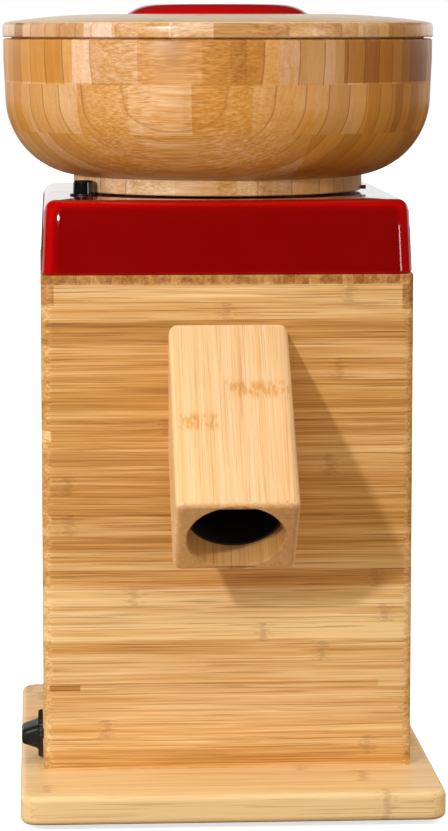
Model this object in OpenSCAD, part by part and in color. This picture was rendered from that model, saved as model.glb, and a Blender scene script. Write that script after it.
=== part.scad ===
// Electric grain mill: a bamboo housing on a base board, with a vertical motor
// that turns the lower of two millstones. The round hopper sits on a fine
// thread, so turning it sets the gap between the stones. Flour leaves through a
// slanted spout. Lengths are in millimetres, heights are from the floor, and
// every piece is drawn about the hopper's axis before about_axis() moves it.

/* [Base] */
// Width of the base board
base_w = 226; // [214:1:240]
// Reach of the base board in front of the hopper axis
base_front = 162; // [150:1:175]
// Reach of the base board behind the hopper axis
base_back = 130; // [124:1:145]
// Thickness of the base board
base_t = 15.5; // [13:0.1:20]
// Corner radius of the base board in plan
base_corner_r = 10; // [6:1:20]
// Rounding of the base board's edges
base_edge_r = 3; // [1:0.5:4]
// Diameter of a rubber foot
foot_d = 20; // [16:1:26]
// Height of a rubber foot
foot_h = 3.2; // [3:0.1:8]
// Distance from the base board's edges to the centre of a foot
foot_inset = 24; // [16:1:28]
// Diameter of the air vent in the base board
vent_d = 100; // [84:1:112]

/* [Housing] */
// Width of the housing
housing_w = 201; // [196:1:212]
// Depth of the housing
housing_d = 201; // [196:1:212]
// Height of the housing, from the base board to the trim cover
housing_h = 270; // [262:1:290]
// Thickness of the housing's panels
panel_t = 12; // [10:0.5:14]
// Rounding of the housing's upright edges
housing_edge_r = 6; // [3:0.5:9]
// Height of the top board's rim, which shows under the trim cover
rim_t = 5; // [4:0.5:8]
// Height of the top board's plug, which centres the trim cover
plug_h = 6.5; // [5:0.5:9]

/* [Trim cover] */
// Height of the trim cover
cover_h = 40; // [38:0.5:48]
// Wall of the trim cover
cover_wall = 3; // [2.5:0.5:4]
// How much narrower the cover is at the top, on each side
cover_draft = 1.9; // [0.5:0.1:4]
// Rounding of the cover's top edges
cover_edge_r = 6.5; // [4:0.5:9]

/* [Spout] */
// Slope of the spout below level
spout_angle = 43; // [40:0.5:46]
// Width of the spout block
spout_w = 64.5; // [62:0.5:72]
// Thickness of the spout block
spout_t = 56; // [54:0.5:62]
// Length of the spout block's top face
spout_len = 123; // [110:1:140]
// Distance from the housing's top down to the spout's top face
spout_drop = 27; // [25:0.5:30]
// Diameter of the round outlet
outlet_d = 51; // [46:0.5:51]
// How far the chute tube stops short of the outlet
outlet_depth = 15; // [10:1:25]
// Rounding of the spout block's long edges
spout_edge_r = 4; // [2:0.5:6]

/* [Millstones] */
// Diameter of the stones
stone_d = 90; // [84:1:91]
// Thickness of a stone
stone_t = 17; // [14:0.5:18]
// Gap between the stones at rest
stone_gap = 1; // [0.8:0.1:1.5]
// Diameter of the upper stone's eye
eye_d = 30; // [26:1:34]
// Number of furrows in each stone
furrows = 12; // [8:1:16]
// Depth of a furrow
furrow_depth = 1.6; // [0.8:0.1:3]
// Thickness of the stone carrier's plate
carrier_t = 10; // [8:0.5:11]

/* [Motor] */
// Outer diameter of the motor
motor_d = 114; // [110:1:118]
// Length of the motor between its end faces
motor_len = 152; // [144:1:156]
// Diameter of the motor shaft
shaft_d = 15; // [12:0.5:16]
// Outer diameter of a motor bearing
bearing_d = 35; // [30:1:38]
// Diameter of the cooling fan
fan_d = 96; // [80:1:104]
// Number of fan blades
fan_blades = 9; // [7:1:13]

/* [Hopper] */
// Outer diameter of the hopper at its rim
bowl_d = 240.8; // [232:0.2:246]
// Height of the hopper bowl without its foot ring
bowl_h = 75.8; // [72:0.1:90]
// Radius of the curve between the bowl's side and bottom
bowl_curve_r = 44.5; // [38:0.5:52]
// Wall of the bowl at its rim
bowl_wall = 10.9; // [8:0.1:13]
// Thickness of the bowl's floor at its middle
bowl_floor = 10.3; // [8:0.1:13]
// Outer diameter of the foot ring
ring_d = 162.6; // [156:0.2:166]
// Height of the foot ring
ring_h = 8.7; // [7.5:0.1:12]
// Gap between the foot ring and the trim cover
ring_gap = 1; // [0.8:0.1:2]
// Bore of the feed funnel
throat_d = 37; // [32:1:38]

/* [Lid] */
// How far the lid stands out past the hopper's rim
lid_overhang = 0.5; // [0.2:0.1:2]
// Height of the lid above the hopper's rim
lid_h = 13.5; // [11:0.1:18]
// Depth of the lid's plug inside the hopper
lid_plug_h = 4.5; // [3:0.5:8]
// Diameter of the disc on the lid
disc_d = 101; // [80:1:112]
// Height of the disc on the lid
disc_h = 5.5; // [4:0.1:9]

/* [Controls] */
// Diameter of the stop button
button_d = 11.5; // [9:0.1:12]
// Height of the stop button above the trim cover
button_h = 8.2; // [6.8:0.1:9]
// Diameter of the switch knob's skirt
knob_d = 26.6; // [22:0.2:28]
// How far the switch knob stands out of the housing
knob_h = 12; // [9:0.5:14]
// Bore of the cord gland
gland_bore = 8; // [6:0.5:9]

/* [Hidden] */
$fn = 96;

// Clearances
fit = 0.05;         // a turning fit, or a piece seated in its bore
slip = 0.1;         // a screw in its hole, a button in its bush
play = 0.3;         // between pieces that move past each other
cut = 1;            // how far a cutting shape reaches past a face

// Heights from the floor up
base_top = foot_h + base_t;
house_top = base_top + housing_h;
rim_z = house_top - rim_t;
plug_top = house_top + plug_h;
cover_top = house_top + cover_h;
cover_under = cover_top - cover_wall;
ring_z = cover_top + ring_gap;
bowl_z = ring_z + ring_h;
rim_top = bowl_z + bowl_h;
lid_top = rim_top + lid_h;

// Spout: its axis crosses the housing's front face at spout_z
tube_r = outlet_d / 2 + 0.3;
tube_wall = 1.8;
spout_z = house_top - spout_drop - spout_t / 2 / cos(spout_angle);
spout_end = spout_len - spout_t / 2 * tan(spout_angle);
spout_end_r = 2;
tip_y = -housing_d / 2 - spout_len * cos(spout_angle);
reach_front = min(-base_front, tip_y + spout_end_r * (cos(spout_angle) + sin(spout_angle) - 1));
lid_r = bowl_d / 2 + lid_overhang;
reach_back = max(base_back, lid_r);
axis_y = -(reach_front + reach_back) / 2;

// Milling chamber and stones, set down from the housing's top
chamber_r = 53;                       // bore of the chamber
chamber_wall = 5;
chamber_ro = chamber_r + chamber_wall;
chamber_floor = 6;
floor_z = house_top - 25.5;           // top of the chamber's floor
carrier_gap = 2;
carrier_z = floor_z + carrier_gap;
lower_z = carrier_z + carrier_t;
upper_z = lower_z + stone_t + stone_gap;
holder_z = upper_z + stone_t;
holder_t = 7;
chamber_top = holder_z + holder_t + 2;
flange_r = 70;
flange_t = 6;
flange_screw_r = 64;
nozzle_r = tube_r + 0.7;
nozzle_s = -58.1;                     // where the nozzle ends, along the spout's axis
nozzle_back = 38;                     // how near the nozzle comes to the axis

// Thread collar and stone holder
collar_r = chamber_r - play;
collar_ri = collar_r - 5.4;
collar_z = holder_z - 12;
collar_rim_r = chamber_ro - 1;
collar_rim_z = chamber_top + 1.3;
collar_top = collar_rim_z + 2.7;
holder_r = collar_ri - play;
lip_r = collar_rim_r - 2;
lip_z = collar_top + play;
lip_t = 3;
funnel_wall = 3;
funnel_r = throat_d / 2 + funnel_wall;
neck_ri = funnel_r + 0.4;
neck_r = neck_ri + 8;
holder_flange_r = ring_d / 2 - 19.3;
holder_flange_t = 6.2;
cover_hole_r = chamber_ro + 2;

// Motor, hung below the chamber on four pillars
pillar_h = 40;
pillar_r = 6;
motor_top = floor_z - chamber_floor - pillar_h;
motor_z = motor_top - motor_len;
motor_mid = (motor_top + motor_z) / 2;
shield_wall = 6.8;
shield_floor = 6;
stator_r = motor_d / 2 - shield_wall - 0.2;
stator_ri = 30.2;
stator_h = 60;
bolt_ring_r = motor_d / 2 - 3.4;
bolt_r = 2.2;
rotor_r = stator_ri - 0.6;
bearing_h = 11;
shaft_r = shaft_d / 2;
fan_h = 14;
fan_z = motor_z - 8 - fan_h;
shaft_top = lower_z - 1;
nose_r = shaft_r - 1.5;               // the shaft's end, inside the carrier

// Bowl
ring_wall = 13.3;
bowl_r = bowl_d / 2;
draw_in = 0.9;                        // how much narrower the side is above its curve
side_r = bowl_r - draw_in;
curve_x = side_r - bowl_curve_r;
curve_z = bowl_z + sqrt(pow(bowl_curve_r, 2) - pow(ring_d / 2 + play - curve_x, 2));
mouth_r = bowl_r - bowl_wall;
inner_curve_r = bowl_curve_r - 10.5;
floor_flat_r = funnel_r + 12.4;

// Stop button and index pin
button_r = button_d / 2;
button_gap = 2.2;                     // from the foot ring to the button
button_angle = 211;                   // around the hopper's axis, front left
button_reach = ring_d / 2 + button_gap + button_r;
bush_flange_t = 0.8;
bush_r = button_r + 0.95;
bush_z = plug_top + 1;
bush_floor = 2;
bush_step_z = bush_z + bush_floor + 16;
button_collar_h = 3;
button_foot_z = bush_step_z - play - button_collar_h;
pin_angle = -12;
pin_r = 1.1;
pin_z = ring_z + 1.7;
pin_out = 2.9;

// Switch, low on the left side, and the cord gland, low at the back
switch_y = -housing_d / 2 + 28.5;
switch_z = base_top + 14.3;
switch_neck_r = 6;
gland_x = 58;
gland_z = base_top + 20;

foot_r = foot_d / 2;
vent_r = vent_d / 2;
base_screw_y = 62;
boss_x = housing_w / 2 - 20.5;
boss_y = housing_d / 2 - 20.5;
cap_x = -housing_w / 2 + panel_t + 23;
cap_y = housing_d / 2 - panel_t - 23;
cap_r = 17.5;

// Points on an arc, for turned profiles
function arc_pts(cx, cz, r, a0, a1, n) =
    [for (i = [0:n]) let (a = a0 + (a1 - a0) * i / n) [cx + r * cos(a), cz + r * sin(a)]];

module about_axis() translate([0, axis_y, 0]) children();

// A tube or a disc between two heights
module ring(ro, ri, z0, z1) {
    translate([0, 0, z0]) difference() {
        cylinder(r = ro, h = z1 - z0);
        if (ri > 0) translate([0, 0, -cut]) cylinder(r = ri, h = z1 - z0 + 2 * cut);
    }
}

module hole(r, z0, z1) translate([0, 0, z0]) cylinder(r = r, h = z1 - z0);

// A rectangle with round corners, centred
module round_rect(w, d, r) {
    square([w, d - 2 * r], center = true);
    square([w - 2 * r, d], center = true);
    for (x = [-1, 1], y = [-1, 1]) translate([x * (w / 2 - r), y * (d / 2 - r)]) circle(r = r);
}

// A turned corner post with rounded rims, for the soft-edged boards
module post(r, z0, z1, r_low, r_high) {
    low = r_low > 0 ? arc_pts(r - r_low, z0 + r_low, r_low, -90, 0, 4) : [[r, z0]];
    high = r_high > 0 ? arc_pts(r - r_high, z1 - r_high, r_high, 0, 90, 4) : [[r, z1]];
    rotate_extrude($fn = 32) polygon(concat([[0, z0]], low, high, [[0, z1]]));
}

// Four screws or holes at the corners of a rectangle
module four(x, y) for (i = [-1, 1], j = [-1, 1]) translate([i * x, j * y, 0]) children();

module quarter(r) for (a = [45:90:315]) rotate(a) translate([r, 0, 0]) children();

// A screw standing head down at height z0, its head head_h thick
module screw(head_r, head_h, r, z0, len) {
    hole(head_r, z0, z0 + head_h);
    hole(r, z0 + head_h, z0 + head_h + len);
}

// Local +Z runs down the spout, local +Y is square to its top face
module along_spout()
    translate([0, -housing_d / 2, spout_z]) rotate([90 + spout_angle, 0, 0]) children();

module foot_places() {
    x = base_w / 2 - foot_inset;
    for (i = [-1, 1], y = [-base_front + foot_inset, base_back - foot_inset])
        translate([i * x, y, 0]) children();
}

// ---- base ----
foot_head_r = 4;
foot_head_h = 1.5;
foot_recess = foot_h - 1.6;
foot_screw_len = 10;

module base_board() color("burlywood") about_axis() difference() {
    r = base_corner_r;
    hull() for (i = [-1, 1], y = [-base_front + r, base_back - r])
        translate([i * (base_w / 2 - r), y, 0]) post(r, foot_h, base_top, base_edge_r, base_edge_r);
    hole(vent_r, foot_h - cut, base_top + cut);
    foot_places() hole(1.8 + slip, foot_h - cut, foot_recess + foot_screw_len + cut);
    base_screw_places() {
        hole(2 + slip, foot_h - cut, base_top + cut);
        hole(4.2, foot_h - cut, foot_h + 3.2);
    }
    grille_screw_places() hole(1.3 + slip, foot_h - cut, foot_h + 8.5);
    translate([cap_x, cap_y, 0]) hole(1.6, base_top - 8, base_top + cut);
}

module feet() color("dimgray") about_axis() foot_places() difference() {
    cylinder(r1 = foot_r - 1, r2 = foot_r, h = foot_h);
    hole(foot_head_r + 0.5, -cut, foot_recess);
    hole(1.8 + slip, foot_recess - cut, foot_h + cut);
}

module foot_screws() color("silver") about_axis() foot_places()
    screw(foot_head_r, foot_head_h, 1.8, foot_recess - foot_head_h, foot_screw_len);

grille_t = 1.6;
grille_head_h = 1;
module grille_screw_places()
    for (a = [30:120:270]) rotate(a) translate([vent_r + 4.5, 0, 0]) children();

module vent_grille() color("dimgray") about_axis() difference() {
    union() {
        ring(vent_r + 9, 0, foot_h - grille_t, foot_h);
        ring(vent_r - 0.4, vent_r - 3, foot_h - cut, foot_h + 6);
    }
    for (r = [12:8:vent_r - 10]) difference() {
        ring(r + 4, r, foot_h - grille_t - cut, foot_h + cut);
        for (a = [0, 60, 120]) rotate(a) cube([2 * vent_r, 4, 40], center = true);
    }
    grille_screw_places() hole(1.3 + slip, 0, foot_h + cut);
}

module grille_screws() color("silver") about_axis() grille_screw_places()
    screw(2.6, grille_head_h, 1.3, foot_h - grille_t - grille_head_h, grille_t + 7);

// ---- housing ----
module base_screw_places() for (i = [-1, 1], j = [-1, 1])
    translate([i * (housing_w - panel_t) / 2, j * base_screw_y, 0]) children();

module base_screws() color("silver") about_axis() base_screw_places()
    screw(4, 3, 2, foot_h + 0.2, base_t + 20);

// Front and back panels span the full width and have round outer edges
module wide_panel() {
    r = housing_edge_r;
    translate([0, 0, base_top]) linear_extrude(rim_z - base_top) {
        translate([-housing_w / 2 + r, -housing_d / 2]) square([housing_w - 2 * r, panel_t]);
        translate([-housing_w / 2, -housing_d / 2 + r]) square([housing_w, panel_t - r]);
        for (i = [-1, 1]) translate([i * (housing_w / 2 - r), -housing_d / 2 + r]) circle(r = r);
    }
}

spout_screw_x = spout_w / 2 - 3.45;
module spout_screw_places() for (i = [-1, 1], z = [spout_z - 24, spout_z + 20])
    translate([i * spout_screw_x, -housing_d / 2 + panel_t + 1.8, z]) rotate([90, 0, 0]) children();

module front_panel() color("burlywood") about_axis() difference() {
    wide_panel();
    along_spout() hole(tube_r + play, -120, 120);
    spout_screw_places() hole(1.6 + slip, 0, panel_t + 10);
}

module back_panel() color("burlywood") about_axis() difference() {
    mirror([0, 1, 0]) wide_panel();
    translate([gland_x, housing_d / 2 - panel_t - cut, gland_z]) rotate([-90, 0, 0])
        cylinder(r = gland_r + slip, h = panel_t + 2 * cut);
    for (i = [-3:3]) translate([i * slot_step, 0, 0]) back_slot();
}

// Round-ended slots let the motor's cooling air out
slot_w = 5;
slot_step = 13;
slot_low = 196;
slot_high = 244;
module back_slot() for (z = [slot_low, slot_high])
    translate([0, housing_d / 2 - panel_t - cut, z]) {
        rotate([-90, 0, 0]) cylinder(r = slot_w / 2, h = panel_t + 2 * cut, $fn = 32);
        if (z == slot_low)
            translate([-slot_w / 2, 0, 0]) cube([slot_w, panel_t + 2 * cut, slot_high - slot_low]);
    }

module side_panel() difference() {
    translate([-housing_w / 2, -housing_d / 2 + panel_t, base_top])
        cube([panel_t, housing_d - 2 * panel_t, rim_z - base_top]);
    base_screw_places() hole(2 + slip, base_top - cut, base_top + 24);
}

module left_panel() color("burlywood") about_axis() difference() {
    side_panel();
    translate([-housing_w / 2 - cut, switch_y, switch_z]) rotate([0, 90, 0])
        cylinder(r = switch_neck_r + slip, h = panel_t + 2 * cut);
}

module right_panel() color("burlywood") about_axis() mirror([1, 0, 0]) side_panel();

cover_w = housing_w - 0.6;
cover_d = housing_d - 0.6;

module top_board() color("peru") about_axis() difference() {
    union() {
        translate([0, 0, rim_z]) linear_extrude(rim_t)
            round_rect(housing_w, housing_d, housing_edge_r);
        translate([0, 0, rim_z]) linear_extrude(rim_t + plug_h)
            round_rect(cover_w - 2 * cover_wall - 3, cover_d - 2 * cover_wall - 3, 4);
    }
    hole(chamber_ro + 0.5, rim_z - cut, plug_top + cut);
    quarter(flange_screw_r) hole(2 + slip, rim_z - cut, rim_z + 9);
    four(boss_x, boss_y) hole(2 + slip, rim_z - cut, plug_top + cut);
}

// ---- trim cover ----
// Half width and corner radius are given at the bottom; the top is narrower
module cover_form(w, d, z0, z1, r, r_high) hull() {
    top_w = w - 2 * cover_draft;
    top_d = d - 2 * cover_draft;
    four(top_w / 2 - r, top_d / 2 - r) post(r, z1 - r_high - cut, z1, 0, r_high);
    four(w / 2 - r, d / 2 - r) post(r, z0, z0 + cut, 0, 0);
}

module trim_cover() color("firebrick") about_axis() difference() {
    union() {
        difference() {
            cover_form(cover_w, cover_d, house_top, cover_top, cover_edge_r + 1, cover_edge_r);
            cover_form(cover_w - 2 * cover_wall, cover_d - 2 * cover_wall, house_top - cut,
                cover_under, cover_edge_r - cover_wall + 2, cover_edge_r - cover_wall);
        }
        four(boss_x, boss_y) hole(4.5, plug_top, cover_under + cut);
    }
    hole(cover_hole_r, cover_under - cut, cover_top + cut);
    at_button() hole(bush_r + slip, cover_under - cut, cover_top + cut);
    four(boss_x, boss_y) hole(2 + slip, plug_top - cut, plug_top + 15);
}

module cover_screws() color("silver") about_axis() four(boss_x, boss_y)
    screw(3.6, 2.5, 2, rim_z - 2.5, rim_t + plug_h + 13);

// ---- spout ----
module spout_block() color("wheat") about_axis() difference() {
    along_spout() difference() {
        intersection() {
            translate([0, 0, -80]) linear_extrude(spout_end + 80)
                round_rect(spout_w, spout_t, spout_edge_r);
            translate([0, 0, spout_end - 100]) rotate([90, 0, 0])
                linear_extrude(spout_t + 2, center = true) round_rect(spout_w, 200, spout_end_r);
            translate([0, 0, spout_end - 100]) rotate([0, 90, 0])
                linear_extrude(spout_w + 2, center = true) round_rect(200, spout_t, spout_end_r);
        }
        hole(outlet_d / 2, spout_end - outlet_depth - cut, spout_end + cut);
        hole(tube_r + 0.2, -100, spout_end - outlet_depth);
    }
    translate([-spout_w, -housing_d / 2, spout_z - 100]) cube([2 * spout_w, 200, 200]);
    spout_screw_places() hole(1.6 + slip, 0, panel_t + 12.3);
}

module spout_screws() color("silver") about_axis() spout_screw_places()
    screw(2.8, 1.8, 1.6, 0, panel_t + 10);

module chute_tube() color("#222222") about_axis() along_spout()
    ring(tube_r, tube_r - tube_wall, nozzle_s + play, spout_end - outlet_depth);

// ---- milling chamber ----
module nozzle_part(r, ry, z_max, s_end) intersection() {
    along_spout() hole(r, -110, s_end);
    translate([-60, -100, floor_z - 60]) cube([120, 100 - ry, z_max - floor_z + 60]);
}

module mill_chamber() color("#3a3a3c") about_axis() difference() {
    union() {
        ring(chamber_ro, 0, floor_z - chamber_floor, chamber_top);
        ring(flange_r, 0, rim_z - flange_t, rim_z);
        nozzle_part(nozzle_r, nozzle_back, rim_z - play, nozzle_s);
        ring(24, 0, floor_z - chamber_floor - 6, floor_z);
        quarter(bolt_ring_r) hole(pillar_r, motor_top, floor_z);
    }
    hole(chamber_r, floor_z, chamber_top + cut);
    nozzle_part(tube_r - tube_wall, nozzle_back + 3, rim_z - 4, nozzle_s + 12);
    hole(seal_r + fit, floor_z - seal_h, floor_z + cut);
    hole(shaft_r + 1, floor_z - 30, floor_z + cut);
    quarter(bolt_ring_r) hole(bolt_r + slip, motor_top - cut, motor_top + 26);
    quarter(flange_screw_r) hole(2 + slip, rim_z - flange_t - cut, rim_z + cut);
}

module chamber_screws() color("silver") about_axis() quarter(flange_screw_r)
    screw(3.8, 2.6, 2, rim_z - flange_t - 2.6, flange_t + 8);

seal_r = 13;
seal_h = 6;
module shaft_seal() color("black") about_axis()
    ring(seal_r, shaft_r + fit, floor_z - seal_h, floor_z);

// ---- motor ----
module shield(z0, z1, z_face) {
    // z_face is the closed end; the other end meets its twin at mid height
    inner0 = z_face < motor_mid ? z0 + shield_floor : z0 - cut;
    inner1 = z_face < motor_mid ? z1 + cut : z1 - shield_floor;
    difference() {
        ring(motor_d / 2, 0, z0, z1);
        hole(stator_r - 2, inner0, inner1);
        hole(stator_r + 0.2, max(z0 - cut, motor_mid - stator_h / 2),
            min(z1 + cut, motor_mid + stator_h / 2));
        quarter(bolt_ring_r) hole(bolt_r + slip, z0 - cut, z1 + cut);
        for (a = [0:60:300]) rotate(a)
            translate([motor_d / 2, 0, z_face < motor_mid ? z0 + 25 : z1 - 25])
                cube([30, 14, 24], center = true);
    }
}

module bearing_seat(z0, z1) ring(bearing_d / 2 + 5, bearing_d / 2 + fit, z0, z1);

module motor_lower_shield() color("silver") about_axis() {
    difference() {
        shield(motor_z, motor_mid, motor_z);
        hole(bearing_d / 2 + fit, motor_z - cut, motor_z + shield_floor + cut);
    }
    bearing_seat(motor_z, motor_z + bearing_h);
}

module motor_upper_shield() color("silver") about_axis() {
    difference() {
        shield(motor_mid, motor_top, motor_top);
        hole(bearing_d / 2 + fit, motor_top - shield_floor - cut, motor_top + cut);
    }
    bearing_seat(motor_top - bearing_h, motor_top);
}

module stator_core() color("#5a5a60") about_axis() difference() {
    ring(stator_r, stator_ri, motor_mid - stator_h / 2, motor_mid + stator_h / 2);
    for (a = [0:30:330]) rotate(a)
        translate([stator_ri + 5, 0, motor_mid]) cube([14, 3, stator_h + 2], center = true);
}

module stator_windings() color("chocolate") about_axis() {
    r = (stator_ri + stator_r) / 2;
    for (s = [-1, 1]) translate([0, 0, motor_mid + s * (stator_h / 2 + 9)]) rotate_extrude()
        translate([r, 0]) round_rect(12, 18, 4);
}

module bearing(z0) {
    difference() {
        ring(bearing_d / 2, shaft_r + fit, z0, z0 + bearing_h);
        for (z = [z0 - cut, z0 + bearing_h - 0.8])
            ring(bearing_d / 2 - 3, shaft_r + 2.5, z, z + 0.8 + (z < z0 ? cut : cut));
    }
}

module lower_bearing() color("gainsboro") about_axis() bearing(motor_z);
module upper_bearing() color("gainsboro") about_axis() bearing(motor_top - bearing_h);

module motor_bolts() color("silver") about_axis() quarter(bolt_ring_r)
    screw(4, 3.5, bolt_r, motor_z - 3.5, motor_len + 24);

module motor_shaft() color("lightgray") about_axis() difference() {
    union() {
        hole(shaft_r, fan_z + 1, carrier_z);
        hole(nose_r, fan_z + 2, shaft_top);
    }
    hole(3 + slip, shaft_top - bolt_grip - 2, shaft_top + cut);
}

module rotor() color("#8a8a8e") about_axis() {
    h = stator_h / 2 + 3;
    difference() {
        ring(rotor_r, shaft_r + fit, motor_mid - h, motor_mid + h);
        for (s = [-1, 1]) ring(rotor_r - 8, shaft_r + 5,
            motor_mid + s * h - 5, motor_mid + s * h + 5);
    }
}

module cooling_fan() color("#303236") about_axis() difference() {
    union() {
        ring(shaft_r + 6, 0, fan_z, fan_z + fan_h);
        ring(fan_d / 2, 0, fan_z + fan_h - 2, fan_z + fan_h);
        for (i = [0:fan_blades - 1]) rotate(i * 360 / fan_blades)
            translate([shaft_r + 5, -0.8, fan_z]) cube([fan_d / 2 - shaft_r - 6, 1.6, fan_h - 1]);
    }
    hole(shaft_r + fit, fan_z - cut, fan_z + fan_h + cut);
}

cap_floor = 3;        // floor of the cup that holds it
cap_h = 59;
cap_neck_h = 3;
cap_tag_x = 6;
tag_w = 4.8;          // a flat push-on terminal
tag_t = 0.8;
tag_h = 9;
clip_h = 16;
module run_capacitor() color("whitesmoke") about_axis()
    translate([cap_x, cap_y, base_top + cap_floor]) {
        hole(cap_r, 0, cap_h);
        hole(cap_r - 3, cap_h - 1, cap_h + cap_neck_h);
        for (s = [-1, 1]) translate([cap_tag_x * s - tag_w / 2, -tag_t / 2, cap_h + cap_neck_h - 1])
            cube([tag_w, tag_t, tag_h + 1]);
    }

module capacitor_clip() color("#303236") about_axis() translate([cap_x, cap_y, 0])
    difference() {
        ring(cap_r + 2.5, 0, base_top, base_top + clip_h);
        hole(cap_r + slip, base_top + cap_floor, base_top + clip_h + cut);
        hole(1.6, base_top - cut, base_top + cap_floor + cut);
    }

// ---- controls on the housing ----
gland_r = gland_bore / 2 + 3;
module cord_gland() color("#1c1c1c") about_axis()
    translate([gland_x, housing_d / 2 - panel_t, gland_z]) rotate([-90, 0, 0]) difference() {
        union() {
            cylinder(r = gland_r, h = panel_t + 1);
            translate([0, 0, panel_t]) cylinder(r1 = gland_r + 3, r2 = gland_r + 1.5, h = 3);
            translate([0, 0, -4]) cylinder(r = gland_r + 3.5, h = 4, $fn = 6);
        }
        hole(gland_bore / 2, -5, panel_t + 4);
    }

module at_switch() translate([-housing_w / 2, switch_y, switch_z]) rotate([0, -90, 0]) children();

switch_shaft_r = 3;
switch_h = 25;        // its case, square to the knob's shaft
switch_w = 26;
switch_deep = 22;
switch_bore = 10;     // how deep the knob's shaft goes in behind the panel
switch_tag_step = 7;
module switch_body() color("#2a2a2a") about_axis() at_switch() difference() {
    union() {
        hole(switch_neck_r, -panel_t - 2, 0);
        translate([-switch_h / 2, -switch_w / 2, -panel_t - switch_deep])
            cube([switch_h, switch_w, switch_deep]);
        for (i = [-1:1])
            translate([-tag_w / 2, i * switch_tag_step - tag_t / 2, -panel_t - switch_deep - tag_h])
                cube([tag_w, tag_t, tag_h + 1]);
    }
    hole(switch_shaft_r + slip, -panel_t - switch_bore, cut);
}

// A round skirt with a tapered grip bar; the bar lies level when the mill is off
knob_skirt = 3.4;
grip_low = 6.8;       // half the bar's thickness at the skirt
grip_high = 3.6;
module switch_knob() color("#161616") about_axis() at_switch() {
    translate([0, 0, play]) cylinder(r1 = knob_d / 2, r2 = knob_d / 2 - 0.7, h = knob_skirt);
    hole(switch_shaft_r, -panel_t - switch_bore + 1, knob_skirt);
    z = knob_h - knob_skirt - play;
    translate([0, 0, knob_skirt + play]) intersection() {
        rotate([90, 0, 0]) linear_extrude(knob_d, center = true)
            polygon([[-grip_low, -1], [grip_low, -1], [grip_low, 0], [grip_high, z],
                [-grip_high, z], [-grip_low, 0]]);
        translate([0, 0, -1]) cylinder(r1 = knob_d / 2 - 0.9, r2 = knob_d / 2 - 1.6, h = z + 1);
    }
}

module at_button() rotate(button_angle) translate([button_reach, 0, 0]) children();

module button_bush() color("silver") about_axis() at_button() difference() {
    union() {
        hole(bush_r, bush_z, cover_top + 0.1);
        hole(bush_r + 0.8, cover_top, cover_top + bush_flange_t);
    }
    hole(button_r + slip, bush_step_z - cut, cover_top + cut);
    hole(button_r + 0.45, bush_z + bush_floor, bush_step_z);
}

module bush_nut() color("silver") about_axis() at_button() difference() {
    translate([0, 0, cover_under - 3.5]) cylinder(r = bush_r + 3.6, h = 3.5, $fn = 6);
    hole(bush_r + slip, cover_under - 4.5, cover_top);
}

module stop_button() color("#101012") about_axis() at_button() {
    top = cover_top + button_h;
    rotate_extrude() polygon(concat([[0, button_foot_z], [button_r + 0.35, button_foot_z],
        [button_r + 0.35, button_foot_z + button_collar_h],
        [button_r, button_foot_z + button_collar_h], [button_r, cover_top + 1.5]],
        arc_pts(button_r - 1.3, top - 1.1, 1.1, 0, 90, 5), [[0, top]]));
}

// Coil of the return spring, one ring of six points at a time
spring_wire_r = 0.45;
spring_r = button_r - 1;
spring_turns = 5;
spring_steps = 16 * spring_turns;
spring_z0 = bush_z + bush_floor + spring_wire_r;
spring_rise = button_foot_z - bush_z - bush_floor - 2 * spring_wire_r;
function spring_ring(i) = let (a = i * 360 / 16, z = spring_z0 + spring_rise * i / spring_steps)
    [for (k = [0:5]) let (r = spring_r + spring_wire_r * cos(60 * k))
        [r * cos(a), r * sin(a), z + spring_wire_r * sin(60 * k)]];

module button_spring() color("lightgray") about_axis() at_button() polyhedron(
    points = [for (i = [0:spring_steps]) each spring_ring(i)],
    faces = concat([[for (k = [0:5]) k]],
        [for (i = [0:spring_steps - 1], k = [0:5]) let (a = 6 * i, m = (k + 1) % 6)
            [a + k, a + 6 + k, a + 6 + m, a + m]],
        [[for (k = [5:-1:0]) 6 * spring_steps + k]]));

// ---- stones and what carries them ----
module furrow_cuts(z) for (i = [0:furrows - 1]) rotate(i * 360 / furrows)
    translate([8, eye_d / 2 - 4, z - furrow_depth]) cube([3, stone_d, 2 * furrow_depth]);

module stone(z0, z1, eye_r, face_z) {
    difference() {
        rotate_extrude() polygon([[eye_r, z0], [stone_d / 2 - 1.2, z0], [stone_d / 2, z0 + 1.2],
            [stone_d / 2, z1 - 1.2], [stone_d / 2 - 1.2, z1], [eye_r, z1]]);
        furrow_cuts(face_z);
    }
}

module lower_stone() color("lightgray") about_axis()
    stone(lower_z, lower_z + stone_t, 14, lower_z + stone_t);

module upper_stone() color("lightgray") about_axis() difference() {
    stone(upper_z, holder_z, eye_d / 2, upper_z);
    translate([0, 0, upper_z - 1]) cylinder(r1 = eye_d / 2 + 9, r2 = eye_d / 2, h = 7);
}

sweepers = 3;
module stone_carrier() color("silver") about_axis() difference() {
    union() {
        ring(stone_d / 2 - 1, 0, carrier_z, lower_z);
        for (i = [0:sweepers - 1]) rotate(90 + i * 360 / sweepers) {
            translate([stone_d / 2 - 5, -2, carrier_z + 0.5])
                cube([chamber_r - stone_d / 2 + 3.5, 4, carrier_t - 0.5]);
            translate([stone_d / 2 + 0.4, -2, carrier_z + 0.5])
                cube([chamber_r - stone_d / 2 - 1.9, 4, carrier_t + 10]);
        }
    }
    hole(nose_r + fit, carrier_z - cut, lower_z + cut);
}

bolt_washer_t = 1.8;
bolt_grip = 16;       // how deep the carrier's bolt goes into the shaft
module carrier_bolt() color("silver") about_axis() {
    hole(11, lower_z, lower_z + bolt_washer_t);
    translate([0, 0, lower_z + bolt_washer_t]) cylinder(r = 6.5, h = 5, $fn = 6);
    hole(3, shaft_top - bolt_grip, lower_z + 1);
}

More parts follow.
